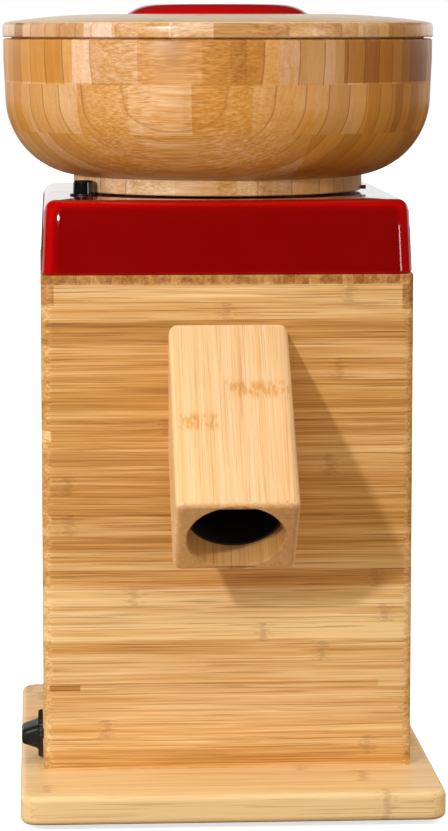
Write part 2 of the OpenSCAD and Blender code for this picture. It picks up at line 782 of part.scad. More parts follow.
module thread_collar() color("#6b6b70") about_axis() {
    difference() {
        union() {
            ring(collar_r, 0, collar_z, collar_rim_z + 1);
            ring(collar_rim_r, 0, collar_rim_z, collar_top);
        }
        hole(collar_ri, collar_z - cut, collar_top + cut);
    }
}

module stone_holder() color("#3a3a3c") about_axis() difference() {
    rotate_extrude() polygon([[neck_ri, holder_z], [holder_r, holder_z],
        [holder_r, lip_z], [lip_r, lip_z], [lip_r, lip_z + lip_t], [holder_r - 5, lip_z + lip_t],
        [holder_r - 5, holder_z + holder_t], [neck_r, holder_z + holder_t],
        [neck_r, bowl_z - holder_flange_t], [holder_flange_r, bowl_z - holder_flange_t],
        [holder_flange_r, bowl_z], [neck_ri, bowl_z]]);
    holder_screw_places() hole(2 + slip, bowl_z - holder_flange_t - cut, bowl_z + cut);
}

module holder_screw_places() quarter((neck_r + holder_flange_r) / 2 + 4) children();

module holder_screws() color("silver") about_axis() holder_screw_places()
    screw(3.8, 1.4, 2, bowl_z - holder_flange_t - 1.4, holder_flange_t + 6);

// ---- hopper ----
module foot_ring() color("burlywood") about_axis() difference() {
    r = ring_d / 2;
    rotate_extrude() polygon(concat([[r - ring_wall, ring_z]],
        arc_pts(r - 1, ring_z + 1, 1, -90, 0, 4), [[r, bowl_z], [r - ring_wall, bowl_z]]));
    at_pin() hole(pin_r + fit, -1, ring_wall + 6);
}

module at_pin() rotate(pin_angle) translate([ring_d / 2 - ring_wall + 3, 0, pin_z])
    rotate([0, 90, 0]) children();

module index_pin() color("#202020") about_axis() at_pin()
    hole(pin_r, 0, ring_wall - 3 + pin_out);

module hopper_bowl() color("tan") about_axis() difference() {
    start = -acos((ring_d / 2 + play - curve_x) / bowl_curve_r);
    inner_z = bowl_z + bowl_floor + 6.5 + inner_curve_r;
    rotate_extrude() polygon(concat([[funnel_r + 0.4, bowl_z]],
        arc_pts(curve_x, curve_z, bowl_curve_r, start, 0, 14),
        [[bowl_r, rim_top - 12]],
        arc_pts(bowl_r - 1.2, rim_top - 1.2, 1.2, 0, 90, 4),
        arc_pts(mouth_r + 1.5, rim_top - 1.5, 1.5, 90, 180, 4),
        arc_pts(mouth_r - inner_curve_r, inner_z, inner_curve_r, 0, -90, 12),
        [[floor_flat_r, bowl_z + bowl_floor], [funnel_r + 0.4, bowl_z + bowl_floor]]));
    holder_screw_places() hole(2 + slip, bowl_z - cut, bowl_z + 7);
}

// The funnel's flange lies on the bowl's floor; three spokes keep fingers out
module feed_funnel() color("#26282b") about_axis() {
    top = bowl_z + bowl_floor;
    difference() {
        union() {
            ring(funnel_r, 0, holder_z + play, top + 1);
            translate([0, 0, top]) cylinder(r1 = floor_flat_r - 2, r2 = floor_flat_r - 3.5, h = 2.5);
        }
        hole(throat_d / 2, holder_z, top + 3);
        translate([0, 0, top - 1.6])
            cylinder(r1 = throat_d / 2, r2 = throat_d / 2 + 4.2, h = 4.2);
    }
    for (a = [0:120:240]) rotate(a + 30)
        translate([0, -1.25, top - 6]) cube([throat_d / 2 + 1, 2.5, 3]);
    hole(4, top - 6, top - 3);
}

// ---- lid ----
lid_edge_r = 3;
crown_drop = 4.4;     // how much lower the lid's top is at its edge
disc_spigot_r = 8;
module lid_board() color("tan") about_axis() difference() {
    r = lid_r;
    plug_r = mouth_r - 1.5;
    flat_r = disc_d / 2 + 9.5;
    span = r - lid_edge_r * 0.7 - flat_r;
    crown_r = (span * span + crown_drop * crown_drop) / (2 * crown_drop);
    crown_a = asin(span / crown_r);
    rotate_extrude() polygon(concat([[0, rim_top - lid_plug_h],
        [plug_r - 1, rim_top - lid_plug_h], [plug_r, rim_top - lid_plug_h + 1],
        [plug_r, rim_top], [r - 1.2, rim_top], [r, rim_top + 1.2]],
        arc_pts(r - lid_edge_r, lid_top - crown_drop - lid_edge_r * 0.95, lid_edge_r, 0, 66, 5),
        arc_pts(flat_r, lid_top - crown_r, crown_r, 90 - crown_a * 0.96, 90, 7), [[0, lid_top]]));
    hole(disc_spigot_r + slip, lid_top - 6.2, lid_top + cut);
}

module lid_disc() color("firebrick") about_axis() {
    r = disc_d / 2;
    top = lid_top + disc_h;
    run = 14;
    fall = disc_h - 0.8;
    arc_r = (run * run + fall * fall) / (2 * fall);
    rotate_extrude() polygon(concat([[0, lid_top - 6], [disc_spigot_r, lid_top - 6],
        [disc_spigot_r, lid_top], [r, lid_top]],
        arc_pts(r - 0.4 - run, top - arc_r, arc_r, 90 - asin(run / arc_r), 90, 8), [[0, top]]));
}

base_board();
feet();
foot_screws();
vent_grille();
grille_screws();
front_panel();
back_panel();
left_panel();
right_panel();
base_screws();
top_board();
trim_cover();
cover_screws();
spout_block();
spout_screws();
chute_tube();
mill_chamber();
chamber_screws();
shaft_seal();
motor_lower_shield();
motor_upper_shield();
stator_core();
stator_windings();
lower_bearing();
upper_bearing();
motor_bolts();
run_capacitor();
capacitor_clip();
switch_body();
cord_gland();
button_bush();
bush_nut();
button_spring();
motor_shaft();
rotor();
cooling_fan();
stone_carrier();
carrier_bolt();
lower_stone();
thread_collar();
stone_holder();
upper_stone();
foot_ring();
index_pin();
hopper_bowl();
feed_funnel();
holder_screws();
lid_board();
lid_disc();
stop_button();
switch_knob();
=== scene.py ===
import math

import bmesh
import bpy
from mathutils import Matrix, Vector


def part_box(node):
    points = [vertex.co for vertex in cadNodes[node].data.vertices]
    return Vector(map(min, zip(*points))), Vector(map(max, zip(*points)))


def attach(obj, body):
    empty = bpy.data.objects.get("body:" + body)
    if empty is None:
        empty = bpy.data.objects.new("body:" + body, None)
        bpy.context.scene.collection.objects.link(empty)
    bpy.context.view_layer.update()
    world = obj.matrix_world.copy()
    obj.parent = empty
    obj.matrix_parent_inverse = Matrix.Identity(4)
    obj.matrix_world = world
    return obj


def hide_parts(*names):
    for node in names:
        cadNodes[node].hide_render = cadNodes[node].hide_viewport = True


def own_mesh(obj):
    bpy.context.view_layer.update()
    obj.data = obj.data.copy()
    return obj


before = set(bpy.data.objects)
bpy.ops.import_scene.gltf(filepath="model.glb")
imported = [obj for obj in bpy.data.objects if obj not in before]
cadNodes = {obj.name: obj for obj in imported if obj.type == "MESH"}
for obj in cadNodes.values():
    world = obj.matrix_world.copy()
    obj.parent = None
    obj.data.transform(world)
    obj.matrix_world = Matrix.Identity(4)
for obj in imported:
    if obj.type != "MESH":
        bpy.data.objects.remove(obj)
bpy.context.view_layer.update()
axisY = sum(corner.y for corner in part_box("hopper_bowl")) / 2  # the hopper's upright axis
print("frame loaded:", len(cadNodes), "nodes, axis at y", round(axisY, 5))


# node helpers; the tree is found from the sockets that a helper is given

def isSocket(value):
    return isinstance(value, bpy.types.NodeSocket)


def plug(tree, socket, value):
    if isSocket(value):
        tree.links.new(value, socket)
    elif value is not None:
        socket.default_value = value


def addNode(tree, kind, values=(), **settings):
    node = tree.nodes.new(kind)
    for key, value in settings.items():
        setattr(node, key, value)
    for key, value in dict(values).items():
        plug(tree, node.inputs[key], value)
    return node


def calc(operation, *values, clamp=False):
    tree = next(value.id_data for value in values if isSocket(value))
    return addNode(tree, "ShaderNodeMath", enumerate(values), operation=operation,
        use_clamp=clamp).outputs[0]


def times(first, second, added=None, clamp=False):
    if added is None:
        return calc("MULTIPLY", first, second, clamp=clamp)
    return calc("MULTIPLY_ADD", first, second, added, clamp=clamp)


def plus(first, second):
    return calc("ADD", first, second)


def minus(first, second):
    return calc("SUBTRACT", first, second)


def length2(first, second):
    return calc("SQRT", plus(times(first, first), times(second, second)))


def remap(value, low, high, toLow=0.0, toHigh=1.0, smooth=True):
    return addNode(value.id_data, "ShaderNodeMapRange", {"Value": value, "From Min": low,
        "From Max": high, "To Min": toLow, "To Max": toHigh}, clamp=True,
        interpolation_type="SMOOTHSTEP" if smooth else "LINEAR").outputs["Result"]


def mix(factor, first, second):
    tree = next(value.id_data for value in (factor, first, second) if isSocket(value))
    return addNode(tree, "ShaderNodeMix", {0: factor, 2: first, 3: second}).outputs[0]


def mixColor(factor, first, second, blend="MIX"):
    tree = next(value.id_data for value in (factor, first, second) if isSocket(value))
    return addNode(tree, "ShaderNodeMix", {0: factor, 6: first, 7: second}, data_type="RGBA",
        blend_type=blend).outputs[2]


def tinted(color, tint):
    return mixColor(1.0, color, (*tint, 1), "MULTIPLY")


def split(vector):
    return addNode(vector.id_data, "ShaderNodeSeparateXYZ", {0: vector}).outputs


def splitColor(color):
    return addNode(color.id_data, "ShaderNodeSeparateColor", {0: color}).outputs


def join(x, y, z):
    return addNode(x.id_data, "ShaderNodeCombineXYZ", {0: x, 1: y, 2: z}).outputs[0]


def noise(vector, scale=1.0, detail=2.0, rough=0.5):
    return addNode(vector.id_data, "ShaderNodeTexNoise", {"Vector": vector, "Scale": scale,
        "Detail": detail, "Roughness": rough}).outputs


def stretched(parts, factors, offset=None):
    x, y, z = [times(part, factor) for part, factor in zip(parts, factors)]
    return join(x if offset is None else plus(x, offset), y, z)


def newGroup(name, kind, inputs, outputs):
    # inputs and outputs list the sockets' names by kind; gives the tree and both ends
    tree = bpy.data.node_groups.new(name, kind)
    for side, sockets in (("INPUT", inputs), ("OUTPUT", outputs)):
        for socketKind, labels in sockets.items():
            for label in labels.split(", "):
                tree.interface.new_socket(name=label, in_out=side,
                    socket_type="NodeSocket" + socketKind)
    return tree, addNode(tree, "NodeGroupInput").outputs, addNode(tree, "NodeGroupOutput").inputs


def paint(code):
    parts = [int(code[i:i + 2], 16) / 255 for i in (1, 3, 5)]
    return tuple(c / 12.92 if c <= 0.04045 else ((c + 0.055) / 1.055) ** 2.4
        for c in parts) + (1.0,)


# shared effects

def bambooStripsGroup():
    # glued strips of bamboo, solid all through: x runs along the fibres, y across the strips, z
    # through the layers, in metres
    tree, given, out = newGroup("bambooStrips", "ShaderNodeTree", {
        "Vector": "Vector",
        "Float": "Strip Width, Layer Depth, Unevenness, Tone, Variation, Streaks, Flecks, "
                 "Knuckles, Joints, Waver, End Grain, Shortness, Blush, Hue Change, Knots, "
                 "Coarse, Seed",
        "Color": "Pale, Mid, Dark"}, {"Color": "Color", "Float": "Roughness, Height"})
    x, y, z = split(given["Vector"])
    layer = calc("FLOOR", calc("DIVIDE", z, given["Layer Depth"]))
    across = times(layer, 7.31, calc("DIVIDE", y, given["Strip Width"]))
    across = times(given["Seed"], 13.7, across)
    cell, edge = [addNode(tree, "ShaderNodeTexVoronoi", {"W": across, "Scale": 1.0,
        "Randomness": given["Unevenness"]}, voronoi_dimensions="1D", feature=feature).outputs
        for feature in ("F1", "DISTANCE_TO_EDGE")]
    shade, hue, chance = splitColor(cell["Color"])
    side = minus(across, cell["W"])  # dense on one side of each strip
    # fibres waver along their length
    swayY, swayZ, unused = splitColor(noise(stretched((x, y, z), (9, 40, 40)), rough=0.65)["Color"])
    bend = times(given["Waver"], 0.006)
    y = times(minus(swayY, 0.5), bend, y)
    z = times(minus(swayZ, 0.5), bend, z)
    # fibres: fine, middling and short dark flecks, shorter where a form is carved across them,
    # and drawn out into upright lines where they end on the surface
    run = times(x, given["Shortness"])
    fine = noise(stretched((run, y, z), (11, 1050, 1050), times(shade, 50)), detail=2.5,
        rough=0.7)[0]
    ends = noise(stretched((x, y, z), (60, 1050, 60)), detail=2.5, rough=0.6)[0]
    fine = mix(given["End Grain"], fine, ends)
    middling = noise(stretched((run, y, z), (5, 300, 300), times(hue, 50)))[0]
    fleck = noise(stretched((run, y, z), (15, 1500, 1500), times(hue, 31)), detail=1.5)[0]
    fleck = remap(times(side, 0.07, fleck), 0.57, 0.68)
    sideOn = times(given["End Grain"], -0.8, 1.0)
    fleck = times(fleck, sideOn)
    streaks = times(given["Streaks"], sideOn)
    # knuckles of the cane: a short ragged zone across a strip, every quarter metre or so
    ragged = noise(stretched((x, y, z), (40, 520, 520)), detail=1)[0]
    along = times(chance, 9.0, times(x, 3.7))
    along = minus(calc("FRACT", along), 0.5)
    along = calc("ABSOLUTE", times(minus(ragged, 0.5), 0.02, along))
    dashes = remap(noise(stretched((x, y, z), (230, 1100, 1100)), detail=1.5)[0], 0.50, 0.62)
    knuckle = times(remap(along, 0.030, 0.004), dashes)
    knuckle = calc("MAXIMUM", knuckle, times(remap(along, 0.011, 0.002), 0.6))
    knuckle = times(knuckle, given["Knuckles"])
    teeth = remap(noise(stretched((x, y, z), (170, 520, 520)), detail=1.5)[0], 0.45, 0.58)
    # tone, from 0 dark to 1 pale
    swing = times(minus(shade, 0.5), 2.0)
    tone = times(swing, given["Variation"], plus(given["Tone"], 0.5))
    grain = plus(times(minus(fine, 0.5), 1.7), times(times(minus(middling, 0.5), 1.5),
        given["Coarse"]))
    tone = times(times(side, -0.10, grain), streaks, tone)
    lower = mixColor(times(tone, 2.0, clamp=True), given["Dark"], given["Mid"])
    color = mixColor(times(tone, 2.0, -1.0, clamp=True), lower, given["Pale"])
    hueTurn = times(minus(hue, 0.5), given["Hue Change"])
    fullness = times(minus(chance, 0.5), given["Hue Change"])
    color = addNode(tree, "ShaderNodeHueSaturation", {"Hue": times(hueTurn, 0.012, 0.5),
        "Saturation": times(fullness, 0.16, 1.0), "Color": color}).outputs[0]
    color = mixColor(given["Blush"], color, tinted(color, (0.95, 1.1, 2.1)))
    stain = tinted(given["Dark"], (0.70, 0.58, 0.44))
    color = mixColor(times(times(fleck, given["Flecks"]), 0.75), color, stain)
    color = mixColor(times(knuckle, 0.72), color, stain)
    ochre = mixColor(times(teeth, 0.85, 0.12), color, tinted(color, (0.86, 0.66, 0.36)))
    color = mixColor(given["Knots"], color, ochre)
    seam = remap(times(edge["Distance"], given["Strip Width"]), 0.00035, 0.0)
    seam = times(times(seam, given["Joints"]), times(given["End Grain"], 1.6, 1.0))
    plug(tree, out["Color"], mixColor(seam, color, stain))
    plug(tree, out["Roughness"], times(fine, 0.16, 0.33))
    plug(tree, out["Height"], times(seam, -0.8, times(fleck, -0.5, times(fine, 0.5))))
    return tree


def edgeWearAndHighlightGroup():
    # a mask that is 1 on rounded edges and corners, broken up by noise; it gives the plastics their
    # wear and the wood a painted highlight on its rounded edges
    tree, given, out = newGroup("edgeWearAndHighlight", "ShaderNodeTree", {"Vector": "Vector",
        "Float": "Radius, Amount"}, {"Float": "Mask"})
    soft = addNode(tree, "ShaderNodeBevel", {"Radius": given["Radius"]}, samples=4).outputs[0]
    plain = addNode(tree, "ShaderNodeNewGeometry").outputs["Normal"]
    turn = addNode(tree, "ShaderNodeVectorMath", {0: soft, 1: plain},
        operation="DOT_PRODUCT").outputs["Value"]
    broken = remap(noise(given["Vector"], 160, 3)[0], 0.35, 0.65)
    plug(tree, out["Mask"], times(times(remap(turn, 0.995, 0.90), broken), given["Amount"]))
    return tree


def fineTextureGroup():
    # the small waviness and grain of a moulded, cast or ground surface
    tree, given, out = newGroup("fineTexture", "ShaderNodeTree", {"Vector": "Vector",
        "Float": "Grain Size, Waviness, Smudges"}, {"Float": "Height, Shade, Smudge"})
    grain = noise(given["Vector"], calc("DIVIDE", 1.0, given["Grain Size"]), 2, 0.6)[0]
    wave = noise(given["Vector"], 120, 1)[0]
    plug(tree, out["Height"], times(wave, given["Waviness"], grain))
    plug(tree, out["Shade"], grain)
    smudge = remap(noise(given["Vector"], 28, 3, 0.6)[0], 0.35, 0.75)
    plug(tree, out["Smudge"], times(smudge, given["Smudges"]))
    return tree


def turningMarksGroup():
    # rings left by a lathe about an upright axis, or long brush marks
    tree, given, out = newGroup("turningMarks", "ShaderNodeTree", {"Vector": "Vector",
        "Float": "Pitch, Brushed"}, {"Float": "Height, Shade"})
    x, y, z = split(given["Vector"])
    outward, upward = [calc("DIVIDE", part, given["Pitch"]) for part in (length2(x, y), z)]
    rings = noise(join(outward, 0.0, upward), 1, 2, 0.6)[0]
    brush = noise(stretched((x, y, z), (1400, 1400, 35)), 1, 2, 0.6)[0]
    both = mix(given["Brushed"], rings, brush)
    plug(tree, out["Height"], both)
    plug(tree, out["Shade"], both)
    return tree


groups = {"bamboo": bambooStripsGroup(), "wearAndHighlight": edgeWearAndHighlightGroup(), "texture": fineTextureGroup(),
    "turning": turningMarksGroup()}
print("shared effects built")


# materials

def startMaterial(name, **constants):
    material = bpy.data.materials.new(name)
    material.use_nodes = True
    tree = material.node_tree
    shader = tree.nodes["Principled BSDF"]
    for key, value in constants.items():
        shader.inputs[key.replace("_", " ")].default_value = value
    return material, tree, shader, addNode(tree, "ShaderNodeTexCoord").outputs["Object"]


def finishMaterial(material, shader, color, rough, height, strength, distance):
    tree = material.node_tree
    bump = addNode(tree, "ShaderNodeBump", {"Height": height, "Strength": strength,
        "Distance": distance})
    plug(tree, shader.inputs["Base Color"], color)
    plug(tree, shader.inputs["Roughness"], rough)
    plug(tree, shader.inputs["Normal"], bump.outputs[0])
    return material


def placed(vector, turn=(0, 0, 0), shift=(0, 0, 0), order="xyz"):
    mapped = addNode(vector.id_data, "ShaderNodeMapping", {"Vector": vector, "Location": shift,
        "Rotation": [math.radians(a) for a in turn]}).outputs[0]
    parts = split(mapped)
    return join(*[parts["xyz".index(letter)] for letter in order])


def useGroup(tree, key, values):
    node = tree.nodes.new("ShaderNodeGroup")
    node.node_tree = groups[key]
    for label, value in values.items():
        plug(tree, node.inputs[label], value)
    return node.outputs


def stepRamp(value, marks):
    # a ramp without blending: marks are (position from 0 to 1, colour)
    node = addNode(value.id_data, "ShaderNodeValToRGB", {0: value})
    node.color_ramp.interpolation = "CONSTANT"
    elements = node.color_ramp.elements
    while len(elements) < len(marks):
        elements.new(0.5)
    for element, (position, color) in zip(elements, marks):
        element.position = position
        element.color = (*color, 1)
    return node.outputs[0]


def toneBands(value, low, high, stops):
    # a strip's own tone by its height: stops are (height, tone) with sharp joints between them
    marks = [((place - low) / (high - low), (tone, tone, tone)) for place, tone in stops]
    return minus(stepRamp(remap(value, low, high, smooth=False), marks), 0.5)


def between(value, low, high, soft=0.0006):
    return times(remap(value, low - soft, low + soft), remap(value, high + soft, high - soft))


def staveTones(coords, layers):
    # tone and blush of a round form's staves: each layer is (bottom, stops), and a stop is
    # (angle from the front, tone, blush), with the angle counted to the right
    x, y, z = split(coords)
    turn = times(calc("ARCTAN2", x, minus(axisY, y)), 180 / math.pi)
    mixed = None
    for bottom, stops in layers:
        marks = [((angle + 180) / 360, (tone, blush, 0)) for angle, tone, blush in stops]
        layer = stepRamp(remap(turn, -180, 180, smooth=False), marks)
        mixed = layer if mixed is None else mixColor(calc("GREATER_THAN", z, bottom), mixed, layer)
    tone, blush, unused = splitColor(mixed)
    return minus(tone, 0.5), blush


plainWood = {"turn": (0, 0, 0), "shift": (0, 0, 0), "order": "xyz", "coat": 0.15, "coatRough": 0.3,
    "tone": 0.0, "endGrainAndShadeTone": 0.0, "endGrain": (0.3, 0.9), "tints": {}, "marks": (), "knots": (),
    "layer": 0.5, "uneven": 0.4, "streaks": 0.6, "flecks": 0.5, "knuckles": 0.7, "joints": 0.35,
    "waver": 0.3, "shortness": 1.0, "coarse": 1.0, "hueChange": 0.3}
woodInputs = {"Strip Width": "strip", "Layer Depth": "layer", "Unevenness": "uneven",
    "Variation": "variation", "Streaks": "streaks", "Flecks": "flecks", "Knuckles": "knuckles",
    "Joints": "joints", "Waver": "waver", "Shortness": "shortness", "Coarse": "coarse",
    "Hue Change": "hueChange", "Seed": "seed"}


def woodMaterial(name, look):
    look = {**plainWood, **look}
    tints = {key: paint(code) for key, code in {**bambooTints, **look["tints"]}.items()}
    material, tree, shader, coords = startMaterial(name, Coat_Weight=look["coat"],
        Coat_Roughness=look["coatRough"], Specular_IOR_Level=0.42)
    x, y, z = split(coords)
    vector = placed(coords, look["turn"], look["shift"], look["order"])
    along, across, up = split(vector)
    tone, blush, knots = look["tone"], 0.0, 0.0
    if "bands" in look:
        tone = plus(toneBands(z, *look["bandRange"], look["bands"]), tone)
    for left, right, low, high, markTone in look["marks"]:  # inlays, in the front's x and z
        mask = times(between(x, left, right, 0.0003), between(z, low, high, 0.0003))
        tone = mix(mask, tone, markTone - 0.5)
    for place, left, right in look["knots"]:  # along and across the fibres
        here = between(along, place - 0.005, place + 0.005, 0.003)
        knots = plus(times(here, between(across, left, right, 0.002)), knots)
    if "bore" in look:  # darker inside a bore along the strips: partly the cut fibres there, partly painted shade in the recess
        depth, radius, boreFibreAndShadeTone = look["bore"]
        away = length2(minus(up, depth), across)
        tone = times(remap(away, radius + 0.0004, radius + 0.0001), boreFibreAndShadeTone, tone)
    if "staves" in look:
        tone, blush = staveTones(coords, look["staves"])
    # faces where the fibres end are made darker: end grain is darker, and on the spout's end face,
    # turned down into shade, this is also painted shade
    facing = addNode(tree, "ShaderNodeTexCoord").outputs["Normal"]
    endOn = calc("ABSOLUTE", split(placed(facing, look["turn"], (0, 0, 0), look["order"]))[0])
    tone = times(remap(endOn, 0.5, 0.9), look["endGrainAndShadeTone"], tone)
    got = useGroup(tree, "bamboo", {"Vector": vector, "Tone": tone, "Blush": blush, "Knots": knots,
        "End Grain": remap(endOn, *look["endGrain"]), "Pale": tints["pale"], "Mid": tints["mid"],
        "Dark": tints["dark"], **{label: look[key] for label, key in woodInputs.items()}})
    # painted highlight: rounded edges are lightened towards the pale tint, standing in for light
    # caught on them
    wearAndHighlight = useGroup(tree, "wearAndHighlight", {"Vector": coords, "Radius": 0.0025, "Amount": 0.35})["Mask"]
    color = mixColor(wearAndHighlight, got["Color"], tints["pale"])
    return finishMaterial(material, shader, color, got["Roughness"], got["Height"], 0.22, 0.0003)


bambooTints = {"pale": "#fad69d", "mid": "#d89f55", "dark": "#965c20"}
# the bowl's staves, layer by layer; the dark tones on its right side are partly painted shade
bowlStavesWithShade = [
    (0.3000, [(-180, 0.48, 0.0), (-120, 0.58, 0.5), (-60, 0.53, 0.4), (22, 0.42, 0.0),
        (60, 0.34, 0.1), (130, 0.50, 0.0)]),
    (0.3637, [(-180, 0.50, 0.1), (-150, 0.58, 0.0), (-128, 0.46, 0.2), (-110, 0.54, 0.1),
        (-90, 0.62, 0.2), (-64, 0.66, 0.3), (-42.8, 0.52, 0.1), (-27.6, 0.64, 0.2),
        (-10.4, 0.47, 0.0), (4.3, 0.56, 0.1), (21.9, 0.56, 0.7), (34, 0.60, 0.3), (39.2, 0.48, 0.1),
        (50.4, 0.34, 0.0), (64, 0.44, 0.0), (80, 0.34, 0.1), (104, 0.55, 0.0), (125, 0.47, 0.2),
        (150, 0.52, 0.0)]),
    (0.3910, [(-180, 0.44, 0.0), (-160, 0.52, 0.3), (-135, 0.40, 0.0), (-112, 0.48, 0.1),
        (-90, 0.52, 0.0), (-76, 0.46, 0.0), (-63, 0.52, 0.0), (-51.7, 0.54, 0.0),
        (-44.5, 0.74, 0.5), (-35.2, 0.70, 0.5), (-25, 0.58, 0.1), (-7.7, 0.50, 0.0),
        (-0.3, 0.41, 0.0), (4, 0.52, 0.0), (11.9, 0.51, 1.0), (19.5, 0.57, 1.0), (27, 0.48, 0.8),
        (30.7, 0.22, 0.0), (44, 0.19, 0.0), (56.7, 0.14, 0.0), (70, 0.24, 0.0), (88, 0.18, 0.0),
        (108, 0.40, 0.1), (140, 0.50, 0.0)]),
]
# the foot ring's staves: the pale tones at the front left are partly painted light, and the darker
# ones from the centre to the right are partly the painted shadow of the bowl above
ringStavesWithLightAndShade = [
    (0.3, [(-180, 0.50, 0.0), (-100, 0.55, 0.1), (-60, 0.72, 0.3), (-38, 0.66, 0.2),
        (-21, 0.56, 0.1), (-3, 0.42, 0.0), (3, 0.58, 0.1), (13, 0.46, 0.0), (26, 0.44, 0.1),
        (45, 0.37, 0.1), (70, 0.36, 0.0), (110, 0.46, 0.1)]),
]
lidStavesWithSheen = [
    (0.3, [(-180, 0.55, 0.0), (-140, 0.42, 0.2), (-110, 0.60, 0.1), (-88, 0.66, 0.4),
        (-70.5, 0.26, 0.0), (-66.0, 0.60, 0.5), (-49.5, 0.46, 0.4), (-39.5, 0.74, 0.5),
        (-31.5, 0.50, 0.3), (-24.0, 0.44, 0.0), (-16.5, 0.74, 0.2), (-5.0, 0.42, 0.0),
        (9.5, 0.48, 0.1), (22.5, 0.42, 0.2), (34.0, 0.66, 0.1), (46.0, 0.42, 0.0),
        (60.0, 0.36, 0.1), (63.5, 0.74, 0.3), (76, 0.62, 0.4), (90, 0.64, 0.3), (120, 0.62, 0.0),
        (150, 0.46, 0.1)]),
    # the top layer's very pale tones, palest on the left half, are painted sheen
    (0.4228, [(-180, 1.1, 0.1), (10, 0.98, 0.0), (45, 0.90, 0.0), (120, 0.98, 0.0)]),
]
woodLooks = {
    "frontWood": {"order": "xzy", "strip": 0.0104, "uneven": 0.6, "streaks": 0.62,
        "variation": 0.07, "flecks": 0.6, "joints": 0.22, "seed": 1.0, "hueChange": 0.25,
        "knuckles": 0.45, "endGrain": (2, 3), "bandRange": (0.0, 0.3),
        "bands": [(0.0, 0.52), (0.0290, 0.70), (0.0612, 0.68), (0.0892, 0.84), (0.1192, 0.60),
            (0.1512, 0.50), (0.1792, 0.53), (0.2162, 0.50), (0.2322, 0.56), (0.2507, 0.34),
            (0.2627, 0.62), (0.2737, 0.76)],
        "marks": [(-0.097, -0.0805, 0.0625, 0.0655, 0.22), (0.082, 0.098, 0.0635, 0.067, 0.86),
            (-0.1005, -0.0935, 0.2725, 0.2837, 0.40), (0.094, 0.1005, 0.2700, 0.2837, 0.30),
            (-0.1005, -0.0955, 0.199, 0.205, 0.95)]},
    "sideWood": {"turn": (0, 0, 90), "order": "xzy", "strip": 0.0102, "uneven": 0.3,
        "variation": 0.10, "seed": 2.0, "tone": 0.14, "flecks": 0.25, "joints": 0.2},
    "backWood": {"order": "xzy", "strip": 0.0098, "uneven": 0.3, "variation": 0.10, "seed": 3.0,
        "tone": 0.08},
    "topBoardWood": {"turn": (0, 0, 90), "strip": 0.0062, "layer": 1.0, "uneven": 0.5,
        "streaks": 0.5, "variation": 0.15, "seed": 4.0, "knuckles": 0.1, "tone": -0.26,
        "waver": 0.4, "endGrain": (2, 3)},
    "baseWood": {"strip": 0.021, "streaks": 0.46, "variation": 0.04, "seed": 5.0, "tone": 0.50,
        "flecks": 0.45, "joints": 0.1, "hueChange": 0.2, "knuckles": 0.5},
    "spoutWood": {"turn": (-43, 0, 0), "order": "yxz", "strip": 0.0215, "streaks": 0.28,
        "variation": 0.03, "seed": 6.0, "tone": 0.27, "flecks": 0.3, "knuckles": 0.2,
        "joints": 0.1, "hueChange": 0.2, "endGrain": (2, 3), "endGrainAndShadeTone": -0.16,
        "bore": (0.2116, 0.0262, -0.36),
        "knots": [(0.0815, -0.004, 0.0305), (0.0595, -0.0285, -0.008)],
        "tints": {"pale": "#fdddb0", "mid": "#e3ab68"}},
    "bowlWood": {"turn": (0, 0, 14.5), "shift": (0, 0, -0.3374), "strip": 0.0092,
        "layer": 0.0263, "uneven": 0.3, "variation": 0.12, "seed": 7.0, "waver": 0.8,
        "flecks": 0.25, "shortness": 2.4, "hueChange": 0.2, "joints": 0.26, "knuckles": 0.2,
        "coarse": 0.3, "endGrain": (0.2, 0.7), "staves": bowlStavesWithShade,
        "tints": {"pale": "#fccf92", "mid": "#d28f38", "dark": "#8a4a0c"}},
    "ringWood": {"turn": (0, 0, 14.5), "strip": 0.0115, "uneven": 0.6, "variation": 0.12,
        "seed": 8.0, "waver": 0.8, "shortness": 3.0, "hueChange": 0.4, "knuckles": 0.3,
        "staves": ringStavesWithLightAndShade},
    "lidWood": {"shift": (0, 0, -0.423), "strip": 0.0095, "uneven": 0.7, "streaks": 0.45,
        "variation": 0.09, "seed": 9.0, "waver": 0.5, "shortness": 2.0, "knuckles": 0.4,
        "joints": 0.3, "coat": 0.85, "coatRough": 0.24, "staves": lidStavesWithSheen,
        "tints": {"pale": "#ffdca8", "mid": "#dca35c"}},
}
wood = {name: woodMaterial(name, look) for name, look in woodLooks.items()}


def mouldedMaterial(name, look):
    material, tree, shader, coords = startMaterial(name, **look["shader"])
    got = useGroup(tree, "texture", {"Vector": coords, "Grain Size": look["grain"],
        "Waviness": look["waviness"], "Smudges": look["smudges"]})
    base = paint(look["color"])
    lit = (*[min(1.0, c * look.get("lift", 1.35)) for c in base[:3]], 1)
    color = mixColor(remap(got["Shade"], 0.3, 0.7), base, lit)
    if "wearAndHighlight" in look:
        wearAndHighlight = useGroup(tree, "wearAndHighlight", {"Vector": coords, "Radius": 0.001,
            "Amount": look["wearAndHighlight"]})["Mask"]
        color = mixColor(wearAndHighlight, color, paint(look["wearColor"]))
    if "paintedEdgeHighlight" in look:  # painted highlight: the red is lighter where the cover rounds an edge, standing in for the light caught on the roundings
        facing = addNode(tree, "ShaderNodeTexCoord").outputs["Normal"]
        sides = [calc("ABSOLUTE", part) for part in split(facing)]
        flat = calc("MAXIMUM", calc("MAXIMUM", sides[0], sides[1]), sides[2])
        color = mixColor(remap(flat, 0.995, 0.8), color, paint(look["paintedEdgeHighlight"]))
    low, high = look["rough"]
    rough = times(got["Smudge"], high - low, low)
    return finishMaterial(material, shader, color, rough, got["Height"], look["bump"],
        look["depth"])


